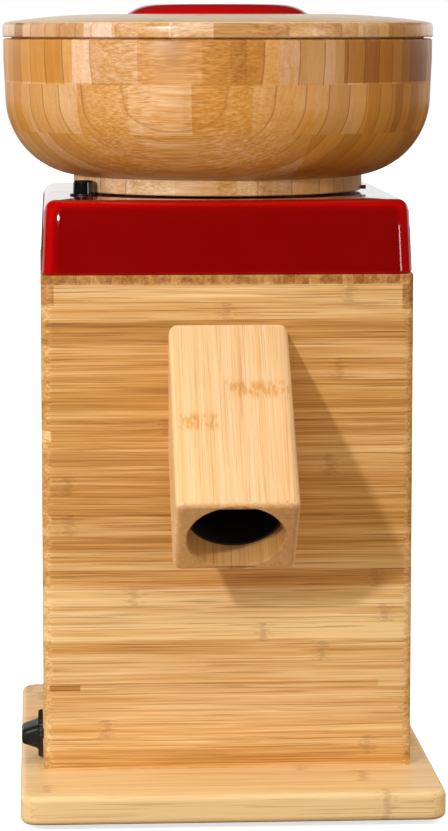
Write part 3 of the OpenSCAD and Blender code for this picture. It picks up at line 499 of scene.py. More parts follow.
mouldedLooks = {
    # the cover's red, with a painted highlight colour for its rounded edges
    "redGloss": {"color": "#880000", "paintedEdgeHighlight": "#b60000", "rough": (0.07, 0.2), "grain": 0.0011,
        "waviness": 3.0, "smudges": 0.4, "bump": 0.03, "depth": 0.0002, "lift": 1.04, "wearAndHighlight": 0.25,
        "wearColor": "#b00606", "shader": {"Coat_Weight": 0.45, "Coat_Roughness": 0.04,
        "Specular_IOR_Level": 0.4}},
    # painted light: the same red plastic as the cover, made brighter to stand in for the light the
    # disc gets on top of the lid
    "redDiscPaintedLight": {"color": "#b80202", "rough": (0.09, 0.24), "grain": 0.0011, "waviness": 2.0,
        "smudges": 0.4, "bump": 0.04, "depth": 0.0002, "lift": 1.04, "wearAndHighlight": 0.3,
        "wearColor": "#cc1414", "shader": {"Coat_Weight": 0.4, "Coat_Roughness": 0.05,
        "Specular_IOR_Level": 0.4}},
    "blackPlastic": {"color": "#1b1b1d", "rough": (0.38, 0.62), "grain": 0.0006, "waviness": 0.3,
        "smudges": 0.6, "bump": 0.35, "depth": 0.0002, "wearAndHighlight": 0.35, "wearColor": "#3a3a3d",
        "shader": {"Specular_IOR_Level": 0.45}},
    "blackGloss": {"color": "#0b0b0d", "rough": (0.09, 0.3), "grain": 0.0008, "waviness": 1.0,
        "smudges": 0.4, "bump": 0.05, "depth": 0.0001, "wearAndHighlight": 0.2, "wearColor": "#2c2c30",
        "shader": {"Coat_Weight": 0.4, "Coat_Roughness": 0.06}},
    "whitePlastic": {"color": "#d9d8d3", "rough": (0.35, 0.55), "grain": 0.0007, "waviness": 0.3,
        "smudges": 0.4, "bump": 0.2, "depth": 0.0001, "lift": 1.0,
        "shader": {"Specular_IOR_Level": 0.45}},
    "footRubber": {"color": "#191919", "rough": (0.7, 0.9), "grain": 0.0005, "waviness": 0.4,
        "smudges": 0.8, "bump": 0.5, "depth": 0.0003, "wearAndHighlight": 0.4, "wearColor": "#35332f",
        "shader": {"Specular_IOR_Level": 0.3}},
    "alloyCast": {"color": "#a9abad", "rough": (0.34, 0.6), "grain": 0.0009, "waviness": 0.5,
        "smudges": 0.8, "bump": 0.45, "depth": 0.0004, "lift": 1.1, "wearAndHighlight": 0.6,
        "wearColor": "#d5d6d8", "shader": {"Metallic": 1.0}},
    "coreSteel": {"color": "#5a5b60", "rough": (0.35, 0.6), "grain": 0.0005, "waviness": 0.2,
        "smudges": 0.6, "bump": 0.2, "depth": 0.0002, "wearAndHighlight": 0.4, "wearColor": "#9a9ba0",
        "shader": {"Metallic": 1.0}},
    "copperWire": {"color": "#a4522a", "rough": (0.25, 0.45), "grain": 0.0007, "waviness": 0.6,
        "smudges": 0.5, "bump": 0.5, "depth": 0.0005, "lift": 1.5, "shader": {"Metallic": 0.85,
        "Coat_Weight": 0.5, "Coat_Roughness": 0.2}},
}
moulded = {name: mouldedMaterial(name, look) for name, look in mouldedLooks.items()}


def turnedMaterial(name, look):
    material, tree, shader, coords = startMaterial(name, Metallic=1.0)
    vector = placed(coords, shift=look.get("shift", (0, 0, 0)))
    got = useGroup(tree, "turning", {"Vector": vector, "Pitch": look["pitch"],
        "Brushed": look.get("brushed", 0.0)})
    base = paint(look["color"])
    lit = (*[min(1.0, c * 1.25) for c in base[:3]], 1)
    rough = times(got["Shade"], 0.18, look["rough"])
    return finishMaterial(material, shader, mixColor(got["Shade"], base, lit), rough, got["Height"],
        0.15, 0.0001)


turnedLooks = {
    "steelTurned": {"color": "#b9bbbd", "pitch": 0.0004, "rough": 0.16, "shift": (0, -axisY, 0)},
    "steelScrew": {"color": "#aeb0b3", "pitch": 0.0003, "rough": 0.2, "brushed": 0.5},
    "blackTurned": {"color": "#3b3c3e", "pitch": 0.0003, "rough": 0.3},
    "alloyTurned": {"color": "#b5b7b9", "pitch": 0.0006, "rough": 0.24, "shift": (0, -axisY, 0)},
}
turned = {name: turnedMaterial(name, look) for name, look in turnedLooks.items()}


def stoneMaterial():
    material, tree, shader, coords = startMaterial("millstoneGrit", Specular_IOR_Level=0.3)
    grit = addNode(tree, "ShaderNodeTexVoronoi", {"Vector": coords, "Scale": 900.0}).outputs
    tint = splitColor(grit["Color"])[0]
    patch = remap(noise(coords, 60, 4)[0], 0.35, 0.7)
    color = mixColor(tint, paint("#a9a196"), paint("#e4dfd4"))
    color = mixColor(times(patch, 0.35), color, paint("#c9b697"))
    return finishMaterial(material, shader, color, remap(tint, 0, 1, 0.75, 0.95), grit["Distance"],
        0.6, 0.0006)


stone = stoneMaterial()
print("materials built")

finishes = {
    wood["frontWood"]: ["front_panel"],
    wood["sideWood"]: ["left_panel", "right_panel"],
    wood["backWood"]: ["back_panel"],
    wood["topBoardWood"]: ["top_board"],
    wood["baseWood"]: ["base_board"],
    wood["spoutWood"]: ["spout_block"],
    wood["bowlWood"]: ["hopper_bowl"],
    wood["ringWood"]: ["foot_ring"],
    wood["lidWood"]: ["lid_board"],
    moulded["redGloss"]: ["trim_cover", "lid_disc"],
    moulded["blackPlastic"]: ["vent_grille", "chute_tube", "capacitor_clip", "switch_body",
        "cord_gland", "cooling_fan", "feed_funnel", "switch_knob"],
    moulded["blackGloss"]: ["stop_button"],
    moulded["whitePlastic"]: ["run_capacitor"],
    moulded["footRubber"]: ["feet", "shaft_seal"],
    moulded["alloyCast"]: ["mill_chamber", "motor_lower_shield", "motor_upper_shield",
        "stone_carrier"],
    moulded["coreSteel"]: ["stator_core", "rotor"],
    moulded["copperWire"]: ["stator_windings"],
    turned["steelTurned"]: ["motor_shaft", "lower_bearing", "upper_bearing", "carrier_bolt"],
    turned["steelScrew"]: ["foot_screws", "grille_screws", "base_screws", "cover_screws",
        "spout_screws", "chamber_screws", "holder_screws", "motor_bolts", "button_spring",
        "index_pin"],
    turned["blackTurned"]: ["bush_nut", "button_bush"],
    turned["alloyTurned"]: ["thread_collar", "stone_holder"],
    stone: ["lower_stone", "upper_stone"],
}
for material, names in finishes.items():
    for name in names:
        for materialSlot in cadNodes[name].material_slots:
            materialSlot.material = material
print("solids finished:", sum(len(names) for names in finishes.values()))


# mesh helpers, in millimetres about the hopper's axis until a piece is finished

millimetres = Matrix.Scale(0.001, 4)
toMetres = Matrix.Translation((0, axisY, 0)) @ millimetres


def roundRect(halfX, halfY, radius, z, steps=10):
    points = []
    for signX, signY, start in ((1, 1, 0), (-1, 1, 90), (-1, -1, 180), (1, -1, 270)):
        for i in range(steps + 1):
            angle = math.radians(start + 90 * i / steps)
            points.append((signX * (halfX - radius) + radius * math.cos(angle),
                signY * (halfY - radius) + radius * math.sin(angle), z))
    return points


def circle(radius, z, count=48, centre=(0, 0)):
    turns = [2 * math.pi * i / count for i in range(count)]
    return [(centre[0] + radius * math.cos(a), centre[1] + radius * math.sin(a), z) for a in turns]


def arc(x, z, radius, start, end, steps=8):
    turns = [math.radians(start + (end - start) * i / steps) for i in range(steps + 1)]
    return [(x + radius * math.cos(a), z + radius * math.sin(a)) for a in turns]


def ringOf(form, points):
    return [form.verts.new(point) for point in points]


def bridge(form, low, high):
    for i in range(len(low)):
        j = (i + 1) % len(low)
        form.faces.new((low[i], low[j], high[j], high[i]))


def loft(form, loops, closed=False):
    rows = [ringOf(form, loop) for loop in loops]
    for low, high in zip(rows, rows[1:] + rows[:1] if closed else rows[1:]):
        bridge(form, low, high)
    return rows


def cap(form, *loops):
    edges = []
    for row in loops:
        for pair in zip(row, row[1:] + row[:1]):
            edges.append(form.edges.get(pair) or form.edges.new(pair))
    bmesh.ops.triangle_fill(form, edges=edges, use_beauty=True, use_dissolve=False)


def capEnds(form, loops):
    rows = loft(form, loops)
    cap(form, rows[0])
    cap(form, rows[-1])


def lathe(form, profile, steps=48, place=None):
    # profile points are (radius, height), run once round the section
    turns = [2 * math.pi * i / steps for i in range(steps)]
    made = loft(form, [[(r * math.cos(a), r * math.sin(a), z) for r, z in profile] for a in turns],
        closed=True)
    verts = [vert for row in made for vert in row]
    if place is not None:
        bmesh.ops.transform(form, matrix=place, verts=verts)
    bmesh.ops.remove_doubles(form, verts=verts, dist=0.0005)


def finishMesh(name, form, material, sharp=35, place=None):
    if place is not None:
        bmesh.ops.transform(form, matrix=place, verts=form.verts)
    bmesh.ops.recalc_face_normals(form, faces=form.faces)
    mesh = bpy.data.meshes.new(name)
    form.to_mesh(mesh)
    form.free()
    mesh.materials.append(material)
    mesh.polygons.foreach_set("use_smooth", [True] * len(mesh.polygons))
    mesh.set_sharp_from_angle(angle=math.radians(sharp))
    return mesh


def placePiece(name, mesh, look):
    piece = bpy.data.objects.new(name, mesh)
    bpy.context.scene.collection.objects.link(piece)
    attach(piece, look["body"])
    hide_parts(*look["replaces"])
    return piece


def makePiece(name, form, material, look):
    return placePiece(name, finishMesh(name, form, material, look["sharp"], toMetres), look)


def heights(node):
    low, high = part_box(node)
    return low.z * 1000, high.z * 1000


# geometry nodes that set a unit on points, each along its own axis and rolled about it

def finishTree(tree, geometry, given, out):
    real = addNode(tree, "GeometryNodeRealizeInstances", {0: geometry}).outputs[0]
    done = addNode(tree, "GeometryNodeSetMaterial", {"Geometry": real,
        "Material": given["Material"]})
    tree.links.new(done.outputs[0], out["Mesh"])
    return tree


def meshFrom(name, tree, points, values):
    # runs a geometry tree on a holder and gives its result as one plain mesh
    holder = bpy.data.objects.new(name + "Holder", points)
    bpy.context.scene.collection.objects.link(holder)
    modifier = holder.modifiers.new(tree.name, "NODES")
    modifier.node_group = tree
    for item in tree.interface.items_tree:
        if item.in_out == "INPUT" and item.name in values:
            modifier[item.identifier] = values[item.name]
    graph = bpy.context.evaluated_depsgraph_get()
    result = bpy.data.meshes.new_from_object(holder.evaluated_get(graph))
    result.name = name
    holder.modifiers.clear()
    bpy.data.objects.remove(holder)
    return result


def repeatGroup():
    tree, given, out = newGroup("repeatUnit", "GeometryNodeTree", {"Geometry": "Points",
        "Object": "Unit", "Material": "Material", "Float": "Roll Swing", "Int": "Seed"},
        {"Geometry": "Mesh"})
    unit = addNode(tree, "GeometryNodeObjectInfo", {"Object": given["Unit"]}).outputs["Geometry"]
    axis, roll = [addNode(tree, "GeometryNodeInputNamedAttribute", {"Name": name},
        data_type=kind).outputs for name, kind in (("axis", "FLOAT_VECTOR"), ("roll", "FLOAT"))]
    swing = addNode(tree, "FunctionNodeRandomValue", data_type="FLOAT")
    for label, value in (("Min", 0.0), ("Max", given["Roll Swing"])):
        plug(tree, [s for s in swing.inputs if s.name == label and s.type == "VALUE"][0], value)
    plug(tree, [s for s in swing.inputs if s.name == "Seed"][0], given["Seed"])
    chance = [s for s in swing.outputs if s.type == "VALUE"][0]
    spin = plus([s for s in roll if s.name == "Attribute"][0], chance)
    aligned = addNode(tree, "FunctionNodeAlignRotationToVector",
        {"Vector": [s for s in axis if s.name == "Attribute"][0]}, axis="Z")
    turn = addNode(tree, "FunctionNodeAxisAngleToRotation", {"Axis": (0, 0, 1), "Angle": spin})
    rotation = addNode(tree, "FunctionNodeRotateRotation", {0: aligned.outputs[0],
        1: turn.outputs[0]}, rotation_space="LOCAL")
    spread = addNode(tree, "GeometryNodeInstanceOnPoints", {"Points": given["Points"],
        "Instance": unit, "Rotation": rotation.outputs[0]})
    return finishTree(tree, spread.outputs[0], given, out)


repeatUnit = repeatGroup()


def repeat(name, unitMesh, places, swing=0.0):
    # places are (point in metres, axis, roll); the result is one mesh in the unit's material
    mesh = bpy.data.meshes.new(name + "Points")
    points, axes, rolls = zip(*places)
    mesh.from_pydata(list(points), [], [])
    mesh.attributes.new("axis", "FLOAT_VECTOR", "POINT").data.foreach_set("vector",
        [part for axis in axes for part in axis])
    mesh.attributes.new("roll", "FLOAT", "POINT").data.foreach_set("value", rolls)
    unit = bpy.data.objects.new(name + "Unit", unitMesh)
    result = meshFrom(name, repeatUnit, mesh, {"Unit": unit, "Material": unitMesh.materials[0],
        "Roll Swing": swing, "Seed": 7})
    bpy.data.objects.remove(unit)
    return result


def turnsAt(count, point, axis=(0, 0, 1)):
    # one place for each turn about the axis, all at one point given in millimetres
    return [(tuple(toMetres @ Vector(point)), axis, 2 * math.pi * i / count) for i in range(count)]


# the red cover, drawn as one moulded shell with soft corners

coverLook = {"body": "housing", "replaces": ["trim_cover"], "slot": "red_plastic", "sharp": 30,
    "draft": 1.9, "corner": 10.5, "edge": 6.2, "under": 1.3, "straight": 2.5, "wall": 3.0,
    "hole": 60.0, "bush": 6.8, "screw": 80.0, "screwDeep": 15.0, "column": 4.5, "screwHole": 2.1}


def buildCover(look):
    low, high = heights("trim_cover")
    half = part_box("trim_cover")[1].x * 1000
    ceiling = high - look["wall"]
    form = bmesh.new()

    def shell(inset, top, edge, corner):
        loops = [roundRect(half - inset - eased, half - inset - eased, corner - eased, low + up)
            for eased, up in ((look["under"], 0), (0, look["under"]), (0.15, look["straight"]))]
        for share in (0.35, 0.7, 1.0):
            start = low + look["straight"]
            at = start + (top - edge - start) * share
            trim = inset + look["draft"] * (at - low) / (high - low)
            loops.append(roundRect(half - trim, half - trim, corner, at))
        trim = inset + look["draft"]
        for x, z in arc(0, top - edge, edge, 0, 90, 9)[1:]:
            narrow = trim + edge - x
            loops.append(roundRect(half - narrow, half - narrow, max(corner - edge + x, 2.0), z))
        return loft(form, loops)

    outer = shell(0.0, high, look["edge"], look["corner"])
    inner = shell(look["wall"], ceiling, look["edge"] - look["wall"] + 0.6,
        look["corner"] - look["wall"])
    bridge(form, outer[0], inner[0])
    points = [vert.co for vert in cadNodes["stop_button"].data.vertices]
    button = sum(points, Vector()) / len(points) * 1000 - Vector((0, axisY * 1000, 0))
    holes = [(look["hole"], (0, 0), 96), (look["bush"], button, 40)]
    tops, unders = [[ringOf(form, circle(r, z, count, at)) for r, at, count in holes]
        for z in (high, ceiling)]
    cap(form, outer[-1], *tops)
    for above, under in zip(tops, unders):
        bridge(form, under, above)
    columns = []
    column, hole, columnFoot = look["column"], look["screwHole"], heights("top_board")[1]
    for signX, signY in ((1, 1), (-1, 1), (-1, -1), (1, -1)):
        at = (signX * look["screw"], signY * look["screw"])
        rows = loft(form, [circle(r, z, 24, at) for r, z in ((column + 0.5, ceiling),
            (column, ceiling - 2), (column, columnFoot), (hole, columnFoot),
            (hole, columnFoot + look["screwDeep"]))])
        cap(form, rows[-1])
        columns.append(rows[0])
    cap(form, inner[-1], *unders, *columns)
    return makePiece("trimCover", form, moulded["redGloss"], look)


buildCover(coverLook)

# the lid: a board with a shadow groove over the hopper's rim, and the gloss disc on it

lidLook = {"body": "lid", "replaces": ["lid_board"], "slot": "bamboo", "sharp": 40, "plug": 4.5,
    "plugR": 108.0, "plugEdge": 1.2, "grooveR": 115.5, "groove": 0.9, "lower": 0.8, "edge": 3.0,
    "drop": 4.4, "flat": 60.0, "spigot": 8.1, "socket": 6.2}


def buildLid(look):
    low, high = heights("lid_board")
    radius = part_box("lid_board")[1].x * 1000
    rim = low + look["plug"]
    edge, flat = look["edge"], look["flat"]
    span = radius - edge * 0.7 - flat
    crown = (span ** 2 + look["drop"] ** 2) / (2 * look["drop"])
    reach = math.degrees(math.asin(span / crown))
    plugEdge, lower, grooveTop = look["plugEdge"], look["lower"], rim + look["groove"]
    profile = [(0, low)] + arc(look["plugR"] - plugEdge, low + plugEdge, plugEdge, -90, 0, 5)
    profile += [(look["plugR"], rim), (look["grooveR"], rim), (look["grooveR"] + 0.5, grooveTop)]
    profile += arc(radius - lower, grooveTop + lower, lower, -90, 0, 5)
    profile += arc(radius - edge, high - look["drop"] - edge * 0.95, edge, 0, 66, 9)
    profile += arc(flat, high - crown, crown, 90 - reach * 0.96, 90, 12)
    spigot, socket = look["spigot"], high - look["socket"]
    profile += [(spigot + 0.4, high), (spigot, high - 0.4), (spigot, socket), (0, socket)]
    form = bmesh.new()
    lathe(form, profile, 160)
    return makePiece("lidBoard", form, wood["lidWood"], look)


discLook = {"body": "lid", "replaces": ["lid_disc"], "slot": "red_plastic", "sharp": 40,
    "spigot": 8.0, "lip": 0.8, "run": 14.0}


def buildDisc(look):
    low, high = heights("lid_disc")
    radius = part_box("lid_disc")[1].x * 1000
    seat = heights("lid_board")[1]
    run, fall = look["run"], high - seat - look["lip"]
    bow = (run ** 2 + fall ** 2) / (2 * fall)
    spigot, start = look["spigot"], 90 - math.degrees(math.asin(run / bow))
    profile = [(0, low), (spigot - 0.5, low), (spigot, low + 0.5), (spigot, seat),
        (radius - 0.3, seat), (radius, seat + 0.3), (radius - 0.1, seat + look["lip"] * 0.7)]
    profile += arc(radius - 0.4 - run, high - bow, bow, start, 90, 14)
    profile += [(0, high)]
    form = bmesh.new()
    lathe(form, profile, 128)
    return makePiece("lidDisc", form, moulded["redDiscPaintedLight"], look)


buildLid(lidLook)
buildDisc(discLook)

# the hopper's wooden bowl, which sits on its foot ring

bowlLook = {"body": "hopper", "replaces": ["hopper_bowl"], "slot": "bamboo", "sharp": 40,
    "radius": 120.4, "drawIn": 0.9, "curve": 44.5, "wall": 10.9, "floor": 10.3, "ring": 81.3,
    "bore": 21.9, "screws": 4, "screwR": 39.95, "screwHole": 2.1, "screwDeep": 7.0, "inside": 10.5,
    "band": 12.0, "outerEdge": 1.2, "innerEdge": 1.5}


def buildBowl(look):
    low, high = heights("hopper_bowl")
    radius, curve = look["radius"], look["curve"]
    side = radius - look["drawIn"]
    centreX = side - curve
    foot = look["ring"] + 0.3 - centreX
    centreZ = low + math.sqrt(curve ** 2 - foot ** 2)
    mouth = radius - look["wall"]
    inner = curve - look["inside"]
    innerZ = low + look["floor"] + 6.5 + inner
    profile = arc(centreX, centreZ, curve, -math.degrees(math.acos(foot / curve)), 0, 26)
    band, outerEdge, innerEdge = high - look["band"], look["outerEdge"], look["innerEdge"]
    profile += [(side + 0.35, centreZ + (band - centreZ) * 0.45), (radius - 0.05, band),
        (radius, band + 4)]
    profile += arc(radius - outerEdge, high - outerEdge, outerEdge, 0, 90, 6)
    profile += arc(mouth + innerEdge, high - innerEdge, innerEdge, 90, 180, 6)
    profile += arc(mouth - inner, innerZ, inner, 0, -90, 20)
    bore, floor = look["bore"], low + look["floor"]
    profile += [(bore + 12.0, floor), (bore + 0.5, floor), (bore, floor - 0.5), (bore, low)]
    form = bmesh.new()
    rows = loft(form, [circle(r, z, 160) for r, z in profile])
    holes = []
    for i in range(look["screws"]):
        turn = math.radians(45 + 90 * i)
        at = (look["screwR"] * math.cos(turn), look["screwR"] * math.sin(turn))
        deep = loft(form, [circle(look["screwHole"], z, 20, at)
            for z in (low, low + look["screwDeep"])])
        cap(form, deep[-1])
        holes.append(deep[0])
    cap(form, rows[0], rows[-1], *holes)
    return makePiece("hopperBowl", form, wood["bowlWood"], look)


buildBowl(bowlLook)
print("cover, lid, disc and bowl built")

# controls

knobLook = {"body": "knob", "replaces": ["switch_knob"], "slot": "black_plastic", "sharp": 35,
    "face": -100.5, "skirt": 3.0, "ribs": 36, "ribDeep": 0.3, "gripLow": 6.7, "gripHigh": 3.7,
    "stem": 2.9, "stemDeep": 14.0}


def buildKnob(look):
    low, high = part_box("switch_knob")
    size = (high.z - low.z) * 1000 / 2
    middleY = (low.y + high.y) * 500 - axisY * 1000
    middleZ = (low.z + high.z) * 500
    tall = look["face"] - low.x * 1000
    form = bmesh.new()
    rows = []
    for radius, z in ((size - 1.0, 0.3), (size - 0.25, 0.5), (size, 0.9), (size - 0.35, 2.3),
            (size - 1.1, look["skirt"])):
        ribbed = []
        for i in range(look["ribs"] * 4):
            cut = look["ribDeep"] if i % 4 in (0, 1) and 0.6 < z < 2.6 else 0.0
            angle = 2 * math.pi * i / (look["ribs"] * 4)
            ribbed.append(((radius - cut) * math.cos(angle), (radius - cut) * math.sin(angle), z))
        rows.append(ribbed)
    capEnds(form, rows)
    grip = []
    for share in (0.0, 0.12, 0.35, 0.6, 0.85, 0.95, 1.0):
        z = look["skirt"] - 0.2 + (tall - look["skirt"] + 0.2) * share
        slope = look["gripLow"] + (look["gripHigh"] - look["gripLow"]) * share
        eased = 0.0 if share < 0.9 else (0.35 if share < 1.0 else 1.1)
        flare = 0.8 * (1 - share / 0.12) if share < 0.12 else 0.0
        grip.append(roundRect(slope - eased + flare, size - 2.0 - 0.8 * share - eased,
            min(3.0, slope - eased - 0.3), z, 6))
    capEnds(form, grip)
    capEnds(form, [circle(look["stem"], z, 20) for z in (-look["stemDeep"], 0.4)])
    place = Matrix.Translation((look["face"], middleY, middleZ))
    place @= Matrix.Rotation(math.radians(-90), 4, "Y")
    bmesh.ops.transform(form, matrix=place, verts=form.verts)
    return makePiece("switchKnob", form, moulded["blackPlastic"], look)


buildKnob(knobLook)

buttonLook = {"body": "button", "replaces": ["stop_button"], "slot": "black_gloss", "sharp": 40,
    "foot": 3.0, "clearance": 0.35}


def buildButton(look):
    low, high = heights("stop_button")
    lowest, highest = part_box("stop_button")
    at = ((lowest.x + highest.x) * 500, (lowest.y + highest.y) * 500 - axisY * 1000, 0)
    radius = (highest.x - lowest.x) * 500
    stem, foot = radius - look["clearance"], low + look["foot"]
    profile = [(0, low), (radius - 0.3, low), (radius, low + 0.3), (radius, foot - 0.3),
        (radius - 0.3, foot), (stem, foot), (stem, high - 7.0), (stem - 0.2, high - 1.3)]
    profile += arc(stem - 1.3, high - 1.1, 1.1, 0, 100, 8)
    profile += [(stem - 2.6, high - 0.18), (stem - 4.0, high - 0.32), (0, high - 0.4)]
    form = bmesh.new()
    lathe(form, profile, 48, Matrix.Translation(at))
    return makePiece("stopButton", form, moulded["blackGloss"], look)


buildButton(buttonLook)

# the button's return spring, a coil along a spiral

springLook = {"body": "housing", "replaces": ["button_spring"], "slot": "steel", "sharp": 60,
    "wire": 0.45, "turns": 5.0, "travel": 7.45}


def coilGroup():
    tree, given, out = newGroup("coilSpring", "GeometryNodeTree",
        {"Float": "Radius, Rise, Turns, Wire", "Material": "Material"}, {"Geometry": "Mesh"})
    path = addNode(tree, "GeometryNodeCurveSpiral", {"Resolution": 32, "Rotations": given["Turns"],
        "Start Radius": given["Radius"], "End Radius": given["Radius"], "Height": given["Rise"]})
    section = addNode(tree, "GeometryNodeCurvePrimitiveCircle", {"Resolution": 12,
        "Radius": given["Wire"]})
    coil = addNode(tree, "GeometryNodeCurveToMesh", {"Curve": path.outputs[0], "Fill Caps": True,
        "Profile Curve": section.outputs[0]})
    return finishTree(tree, coil.outputs[0], given, out)


def buildSpring(look):
    lowest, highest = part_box("button_spring")
    size, centre = highest - lowest, (lowest + highest) / 2
    wire = look["wire"] / 1000
    coil = meshFrom("buttonSpring", coilGroup(), bpy.data.meshes.new("springHolder"),
        {"Radius": size.x / 2 - wire, "Wire": wire, "Rise": size.z - 2 * wire,
        "Turns": look["turns"], "Material": turned["steelScrew"]})
    form = bmesh.new()
    form.from_mesh(coil)
    mesh = finishMesh("buttonSpring", form, turned["steelScrew"], look["sharp"],
        Matrix.Translation((centre.x, centre.y, lowest.z + wire)))
    spring = placePiece("buttonSpring", mesh, look)
    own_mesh(spring)


buildSpring(springLook)

# screws: one unit of each kind, set on its places by the repeat nodes

plainScrew = {"up": (0, 0, 1), "body": "housing"}
screwLooks = {
    "foot_screws": {"head": (4.0, 1.5), "shank": 1.8},
    "grille_screws": {"head": (2.6, 1.0), "shank": 1.3},
    "base_screws": {"head": (4.0, 3.0), "shank": 2.0},
    "cover_screws": {"head": (3.6, 2.5), "shank": 2.0},
    "spout_screws": {"head": (3.2, 1.8), "shank": 1.6, "up": (0, -1, 0)},
    "chamber_screws": {"head": (3.8, 2.6), "shank": 2.0},
    "holder_screws": {"head": (3.8, 1.4), "shank": 2.0, "body": "hopper"},
    "motor_bolts": {"head": (4.0, 3.5), "shank": 2.2},
}


def screwUnit(name, look, length):
    headR, headH = look["head"]
    shankR = look["shank"]
    form = bmesh.new()
    bottom = ringOf(form, circle(headR - 0.5, 0, 32))
    arm, thick, deep = headR * 0.62, headR * 0.15, min(headH * 0.6, 1.2)
    cross = [(arm, -thick), (arm, thick), (thick, thick), (thick, arm), (-thick, arm),
        (-thick, thick), (-arm, thick), (-arm, -thick), (-thick, -thick), (-thick, -arm),
        (thick, -arm), (thick, -thick)]
    mouthRow = ringOf(form, [(x, y, 0) for x, y in cross])
    floorRow = ringOf(form, [(x * 0.8, y * 0.8, deep) for x, y in cross])
    cap(form, bottom, mouthRow)
    bridge(form, mouthRow, floorRow)
    cap(form, floorRow)
    rows = [(headR - 0.15, headH * 0.15), (headR, headH * 0.4), (headR, headH), (shankR, headH)]
    z, tip = headH + min((length - headH) * 0.35, 6.0), length - shankR * 0.8
    rootR, pitch = shankR * 0.86, 0.8
    rows.append((shankR, z))
    while z < tip - pitch:
        rows += [(rootR, z + 0.25), (shankR, z + 0.5), (rootR, z + 0.75)]
        z += pitch
    rows += [(rootR, tip), (shankR * 0.45, length)]
    made = loft(form, [circle(r, z, 32) for r, z in rows])
    bridge(form, bottom, made[0])
    cap(form, made[-1])
    return finishMesh(name + "Unit", form, turned["steelScrew"], 30, millimetres)


def islands(mesh):
    form = bmesh.new()
    form.from_mesh(mesh)
    bmesh.ops.remove_doubles(form, verts=form.verts, dist=1e-6)
    left, shapes = set(form.verts), []
    while left:
        stack, found = [left.pop()], []
        while stack:
            vert = stack.pop()
            found.append(vert.co.copy())
            for edge in vert.link_edges:
                other = edge.other_vert(vert)
                if other in left:
                    left.discard(other)
                    stack.append(other)
        shapes.append(found)
    form.free()
    return sorted(shapes, key=lambda found: tuple(round(c, 4) for c in found[0]))


def buildScrews(node, look):
    up = Vector(look["up"])
    places, length = [], 0.0
    for found in islands(cadNodes[node].data):
        along = [p.dot(up) for p in found]
        low = [min(p[i] for p in found) for i in range(3)]
        high = [max(p[i] for p in found) for i in range(3)]
        point = (Vector(low) + Vector(high)) / 2
        point += up * (min(along) - point.dot(up))
        places.append((tuple(point), tuple(up), 0.0))
        length = (max(along) - min(along)) * 1000
    name = node.split("_")[0] + node.split("_")[1].capitalize()
    mesh = repeat(name, screwUnit(name, look, length - 0.02), places, swing=1.5)
    return placePiece(name, mesh, {"body": look["body"], "replaces": [node], "slot": "steel"})


for node, look in screwLooks.items():
    buildScrews(node, {**plainScrew, **look})
print("knob, button and screws built")


# the spout: a square block on the slope, bored through for the chute

spoutLook = {"body": "housing", "replaces": ["spout_block"], "slot": "bamboo_pale", "sharp": 40,
    "slope": 43.0, "face": -100.5, "drop": 27.0, "length": 123.0, "wide": 64.5, "thick": 56.0,
    "corner": 4.5, "end": 3.6, "outlet": 25.5, "bore": 26.0, "depth": 15.0, "screwX": 28.8,
    "screwZ": (-24.0, 20.0), "screwHole": 1.7, "screwDeep": 12.3}


def buildSpout(look):
    slope = math.radians(look["slope"])
    crossZ = heights("trim_cover")[0] - look["drop"] - look["thick"] / 2 / math.cos(slope)
    reach = look["length"] - look["thick"] / 2 * math.tan(slope)

    def at(u, v, along):
        return (u, look["face"] - math.cos(slope) * along - math.sin(slope) * v,
            crossZ - math.sin(slope) * along + math.cos(slope) * v)

    def section(inset, corner):
        return roundRect(look["wide"] / 2 - inset, look["thick"] / 2 - inset, corner, 0, 8)

    def cutAtWall(points):
        return [at(u, v, -v * math.tan(slope)) for u, v, unused in points]

    form = bmesh.new()
    end = look["end"]
    loops = [cutAtWall(section(0, look["corner"]))]
    for x, z in arc(0, 0, end, 0, 90, 8):
        inset = end - x
        corner = max(look["corner"] - inset, 0.9)
        loops.append([at(u, v, reach - end + z) for u, v, unused in section(inset, corner)])
    outer = loft(form, loops)
    hole = []
    for radius, along in ((look["outlet"] + 0.7, reach), (look["outlet"], reach - 0.7),
            (look["outlet"], reach - look["depth"]), (look["bore"], reach - look["depth"])):
        hole.append([at(u, v, along) for u, v, unused in circle(radius, 0, 72)])
    hole.append(cutAtWall(circle(look["bore"], 0, 72)))
    inner = loft(form, hole)
    cap(form, outer[-1], inner[0])
    screwRows = []
    for x in (-look["screwX"], look["screwX"]):
        for rise in look["screwZ"]:
            rows = loft(form, [[(x + u, look["face"] - deep, crossZ + rise + v)
                for u, v, unused in circle(look["screwHole"], 0, 16)]
                for deep in (0, look["screwDeep"])])
            cap(form, rows[-1])
            screwRows.append(rows[0])
    cap(form, outer[0], inner[-1], *screwRows)
    return makePiece("spoutBlock", form, wood["spoutWood"], look)


buildSpout(spoutLook)

# motor: bearings with their balls, wound end turns, bladed fan

bearingLook = {"outer": 17.5, "inner": 7.55, "track": 12.3, "ball": 2.9, "balls": 9, "edge": 0.4,
    "shoulders": (14.3, 10.3), "cage": (11.2, 13.4, 0.7), "play": 0.05, "slot": "steel",
    "body": "housing"}


def joinMeshes(name, *meshes):
    form = bmesh.new()
    for mesh in meshes:
        form.from_mesh(mesh)
    joined = bpy.data.meshes.new(name)
    form.to_mesh(joined)
    form.free()
    joined.materials.append(meshes[0].materials[0])
    joined.set_sharp_from_angle(angle=math.radians(40))
    return joined


